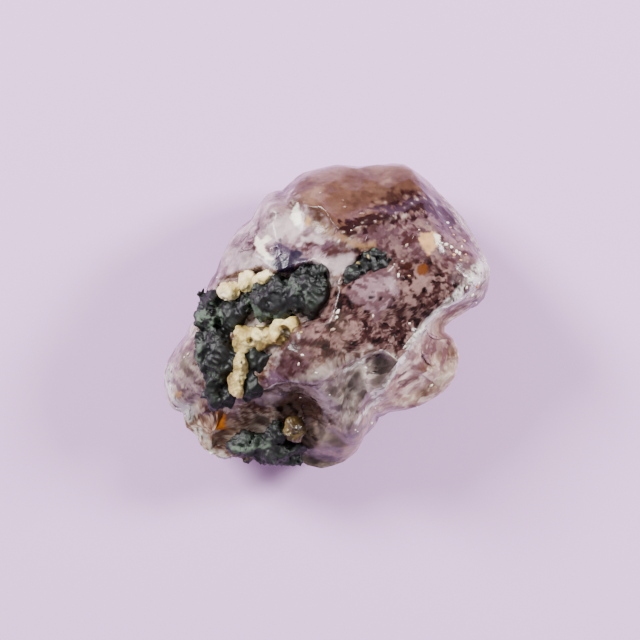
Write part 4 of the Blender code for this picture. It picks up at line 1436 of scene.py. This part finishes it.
DARK_GROUND = Ground(None, T.BLACK, T.GREEN_BLACK, T.MOSS, grain=0.5, bold=0.55, cloudy=0.7, web=0.1)
TAN_GROUND = Ground(None, T.DUST, T.STRAW, T.BONE, grain=0.6, bold=0.5, cloudy=0.7, web=0.1)
CRUSTS: tuple[Crust, ...] = (
    Crust(
        "dark_crust_growth", ("dark_crust",), "dark_mineral", DARK_STONE,
        (
            (-3.9, 1.6, 11.1, 2.4, 1.9, 1.9, 10), (-1.1, 2.1, 12.1, 1.9, 2.1, 1.7, 0),
            (-0.8, 3.8, 12.6, 1.0, 0.9, 0.9, 0), (-7.4, 0.3, 9.9, 1.6, 1.3, 1.3, 20),
            (-9.4, 1.4, 9.4, 0.9, 0.9, 0.8, 0), (-9.7, -0.1, 9.4, 1.1, 1.0, 1.0, 30),
            (-9.0, -2.7, 9.2, 1.6, 2.2, 1.5, 0), (-8.9, -5.0, 8.9, 1.1, 1.2, 1.1, 0),
            (-8.7, -6.4, 8.9, 1.3, 1.1, 1.0, -20), (-6.9, -3.4, 9.3, 1.6, 1.5, 1.3, 0),
            (-5.0, -3.4, 10.0, 1.5, 1.5, 1.2, 40), (-5.9, -5.5, 9.9, 0.9, 1.4, 1.0, -20),
        ),
        (DARK_GROUND,),
        (
            Mark(Spot((-3.7, 1.7), 1.9, 1.2, 10), T.BLUE_BLACK, 1.0, 0.5, 0.3),
            Mark(Spot((-7.4, 0.8), 1.0, 0.6, 20), T.BLUE_BLACK, 0.9, 0.4, 0.3),
            Mark(Spot((-8.6, -2.9), 1.2, 1.0, 20), T.BLUE_BLACK, 0.8, 0.5, 0.4),
            Weave(Stroke(((-6.1, 2.8), (-6.3, 1.8), (-5.8, 0.6), (-5.1, 0.0), (-4.2, -0.2)), 0.8),
                T.SAGE, 0.4, 30, 0.55, 0.7),
            Weave(Stroke(((-2.9, 2.9), (-2.1, 2.3), (-1.6, 1.5)), 0.9), T.SAGE, 0.3, 30, 0.4, 0.6),
            Weave(Spot((-9.5, 0.1), 1.1, 1.2, 60), T.SAGE, 0.5, 60, 0.6, 0.85),
            Weave(Stroke(((-10.4, -1.9), (-10.4, -3.4), (-9.8, -4.6), (-8.8, -5.1)), 0.6), T.SAGE, 0.35,
                30, 0.45, 0.7),
            Weave(Stroke(((-9.8, -5.9), (-9.1, -6.6), (-7.9, -7.3)), 0.5), T.MOSS, 0.35, 30, 0.6, 0.9),
            Weave(Stroke(((-5.6, -5.1), (-6.3, -6.3), (-6.8, -6.6)), 0.5), T.MOSS, 0.35, 30, 0.6, 0.9),
        ),
        grown=0.05, seed=3,
    ),
    Crust(
        "upper_dark_growth", ("upper_dark_lump",), "dark_mineral", DARK_STONE,
        (
            (2.1, 3.3, 12.9, 1.1, 0.8, 0.8, 35), (3.5, 4.4, 12.9, 1.3, 1.0, 0.9, 40),
            (4.7, 4.6, 12.9, 0.9, 0.7, 0.8, -20),
        ),
        (
            Ground(None, T.BLACK, T.BLACK, T.GREEN_BLACK, grain=0.5, bold=0.6, cloudy=0.7, web=0.1),
        ),
        (
            Mark(Spot((2.7, 4.4), 0.12, 0.08), T.STRAW, 0.8, 0.08),
            Mark(Spot((3.5, 4.9), 0.09, 0.07), T.STRAW, 0.8, 0.08),
            Mark(Spot((4.3, 4.7), 0.1, 0.06, 40), T.SAGE, 0.8, 0.08),
            Mark(Spot((2.1, 3.8), 0.09, 0.07), T.SAGE, 0.8, 0.08),
            Mark(Spot((3.9, 5.6), 0.1, 0.06), T.SAGE, 0.7, 0.08),
            Mark(Spot((3.2, 5.2), 0.1, 0.06), T.SAGE, 0.7, 0.08),
        ),
        pitch=0.07, grown=0.08, seed=11,
    ),
    Crust(
        "lower_dark_growth", ("lower_dark_crust",), "dark_mineral", DARK_STONE,
        (
            (-6.4, -10.8, 6.3, 1.6, 1.1, 1.2, 0), (-4.4, -10.9, 6.3, 1.7, 1.4, 1.4, 0),
            (-4.1, -9.6, 7.5, 0.9, 0.9, 0.9, 0), (-2.9, -11.2, 6.1, 1.2, 1.0, 1.1, 0),
        ),
        (DARK_GROUND,),
        (
            Mark(Spot((-3.9, -10.1), 1.0, 0.9), T.BLACK, 0.9, 0.5, 0.4),
            Weave(Stroke(((-7.6, -10.8), (-6.8, -11.1), (-5.8, -10.9), (-4.9, -10.7), (-4.6, -10.2)),
                0.45), T.SAGE, 0.4, 10, 0.7, 0.9),
            Weave(Stroke(((-6.3, -11.6), (-4.7, -11.8), (-3.2, -11.5), (-2.4, -10.8)), 0.5), T.MOSS,
                0.35, 30, 0.6, 0.8),
            Mark(Stroke(((-7.6, -11.5), (-6.9, -11.8), (-6.3, -11.8)), 0.35), T.OLIVE, 0.8, 0.2),
        ),
        pitch=0.07, grown=0.08, seed=17,
    ),
    Crust(
        "upper_tan_growth", ("upper_tan_grains",), "tan_mineral", TAN_STONE,
        (
            (-7.8, 2.2, 10.3, 0.9, 0.8, 0.8, 0), (-6.4, 2.9, 10.8, 0.8, 0.9, 0.9, 0),
            (-4.7, 3.4, 11.6, 1.3, 0.6, 0.7, 35),
        ),
        (
            Ground(None, T.STRAW, T.BONE, T.CREAM, grain=0.7, bold=0.5, cloudy=0.7, web=0.1),
        ),
        pitch=0.06, knob=0.08, vein=0.06, seed=23,
    ),
    Crust(
        "tan_matrix_growth", ("tan_matrix",), "tan_mineral", TAN_STONE,
        (
            (-6.4, -1.8, 10.5, 1.1, 1.0, 1.1, 0), (-4.9, -1.6, 11.1, 1.2, 0.9, 1.0, 10),
            (-3.4, -1.0, 11.8, 1.2, 0.9, 1.0, 30),
        ),
        (TAN_GROUND,),
        (
            Mark(Spot((-6.0, -1.9), 0.32, 0.26), T.OLIVE_DARK, 0.95, 0.15),
            Mark(Stroke(((-6.1, -0.6), (-5.2, -0.9), (-4.6, -0.7)), 0.22), T.OLIVE_DARK, 0.9, 0.15),
            Mark(Spot((-3.2, -1.2), 0.6, 0.35, -35), T.OLIVE_DARK, 0.9, 0.2),
        ),
        (
            (-6.0, -1.9, 11.6, 0.4, 0.35, 0.5, 0), (-3.2, -1.1, 12.8, 0.6, 0.4, 0.5, -35),
            (-5.3, -0.6, 12.2, 0.5, 0.3, 0.5, 0),
        ),
        pitch=0.06, knob=0.1, knob_length=1.3, vein=0.03, grown=0.08, seed=29,
    ),
    Crust(
        "lower_tan_growth", ("lower_tan_matrix",), "tan_mineral", TAN_STONE,
        (
            (-6.9, -4.0, 10.7, 0.6, 1.3, 0.7, 0), (-7.3, -5.6, 10.4, 0.6, 1.1, 0.8, 20),
        ),
        (TAN_GROUND,),
        (
            Mark(Spot((-6.8, -3.7), 0.14, 0.2), T.OLIVE_DARK, 0.9, 0.1),
        ),
        pitch=0.05, knob=0.08, knob_length=1.1, vein=0.03, seed=31,
    ),
    Crust(
        "olive_crumb_growth", ("olive_crumb",), "olive_mineral", OLIVE_STONE,
        (
            (-2.5, -9.3, 8.1, 0.9, 1.1, 0.9, 0),
        ),
        (
            Ground(None, T.OLIVE_DARK, T.OLIVE, T.DUST, grain=0.5, bold=0.6, cloudy=0.7, web=0.1),
        ),
        (
            Mark(Spot((-2.6, -9.6), 0.14, 0.14), T.BLACK, 0.9, 0.1),
        ),
        pitch=0.05, knob=0.05, knob_length=1.1, vein=0.03, seed=37,
    ),
)


@dataclass(frozen=True)
class Lamp:
    """A square soft light that points at the stone."""

    name: str
    place: tuple[float, float, float]
    size: float
    watts: float


@dataclass
class Studio:
    """A pale floor, soft light and the camera straight above."""

    floor_tone: tuple[int, int, int] = (236, 188, 245)
    floor_size: float = 1.2
    sky_strength: float = 0.4
    sky_tone: tuple[float, float, float] = (0.96, 0.93, 1.0)
    lens: float = 150.0
    sensor: float = 36.0
    field_width: float = 53.76
    focus_height: float = 5.5
    aim_height: float = 0.007
    clip_start: float = 0.01
    highlight_share: float = 0.6
    floor_roughness: float = 0.9
    floor_mottle_scale: float = 12.0
    floor_mottle: float = 0.97
    centre: Point2 = (-0.378, -0.21)
    lamps: tuple[Lamp, ...] = (
        Lamp("key_light", (-0.20, 0.15, 0.20), 0.10, 2.0),
        Lamp("fill_light", (0.22, 0.08, 0.15), 0.06, 1.4),
    )

    def build(self) -> None:
        """Make the floor, the lights, the sky and the camera."""
        self.floor()
        for lamp in self.lamps:
            self.light(lamp)
        world = bpy.data.worlds.new("sky")
        world.use_nodes = True
        background = world.node_tree.nodes["Background"]
        background.inputs["Color"].default_value = (*self.sky_tone, 1.0)
        background.inputs["Strength"].default_value = self.sky_strength
        bpy.context.scene.world = world
        data = bpy.data.cameras.new("camera")
        data.lens = self.lens
        data.sensor_width = self.sensor
        data.clip_start = self.clip_start
        camera = bpy.data.objects.new("camera", data)
        away = self.field_width * self.lens / self.sensor
        camera.location = Vector((*self.centre, away + self.focus_height)) * MM
        bpy.context.scene.collection.objects.link(camera)
        bpy.context.scene.camera = camera

    def floor(self) -> None:
        """A wide pale square with a faint mottling."""
        half = self.floor_size / 2 / MM
        corners = half * np.array([(-1, -1, 0), (1, -1, 0), (1, 1, 0), (-1, 1, 0)])
        floor = make_piece("floor", corners, np.array([[0, 1, 2, 3]]), smooth=False)
        material = bpy.data.materials.new("floor")
        material.use_nodes = True
        nodes = material.node_tree.nodes
        noise = nodes.new("ShaderNodeTexNoise")
        noise.inputs["Scale"].default_value = self.floor_mottle_scale
        place = nodes.new("ShaderNodeTexCoord")
        tones = nodes.new("ShaderNodeMix")
        tones.data_type = "RGBA"
        tones.inputs["A"].default_value = (*srgb(*self.floor_tone) * self.floor_mottle, 1.0)
        tones.inputs["B"].default_value = (*srgb(*self.floor_tone), 1.0)
        link = material.node_tree.links.new
        link(place.outputs["Object"], noise.inputs["Vector"])
        link(noise.outputs["Fac"], tones.inputs["Factor"])
        link(tones.outputs["Result"], nodes["Principled BSDF"].inputs["Base Color"])
        nodes["Principled BSDF"].inputs["Roughness"].default_value = self.floor_roughness
        floor.data.materials.append(material)

    def light(self, lamp: Lamp) -> None:
        """Hang one area light and turn it to the stone.

        Args:
            lamp: the light's place, size and power.
        """
        data = bpy.data.lights.new(lamp.name, "AREA")
        data.size = lamp.size
        data.energy = lamp.watts
        data.specular_factor = self.highlight_share
        obj = bpy.data.objects.new(lamp.name, data)
        obj.location = lamp.place
        way = Vector((0, 0, self.aim_height)) - Vector(lamp.place)
        obj.rotation_euler = way.to_track_quat("-Z", "Y").to_euler()
        bpy.context.scene.collection.objects.link(obj)


def main() -> None:
    """Build the looks round the frame."""
    logging.basicConfig(level=logging.INFO, format="%(message)s")
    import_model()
    looks = Looks()
    ScapoliteBody().build(looks)
    for crust in CRUSTS:
        crust.build(looks)
    Studio().build()


if __name__ == "__main__":
    main()
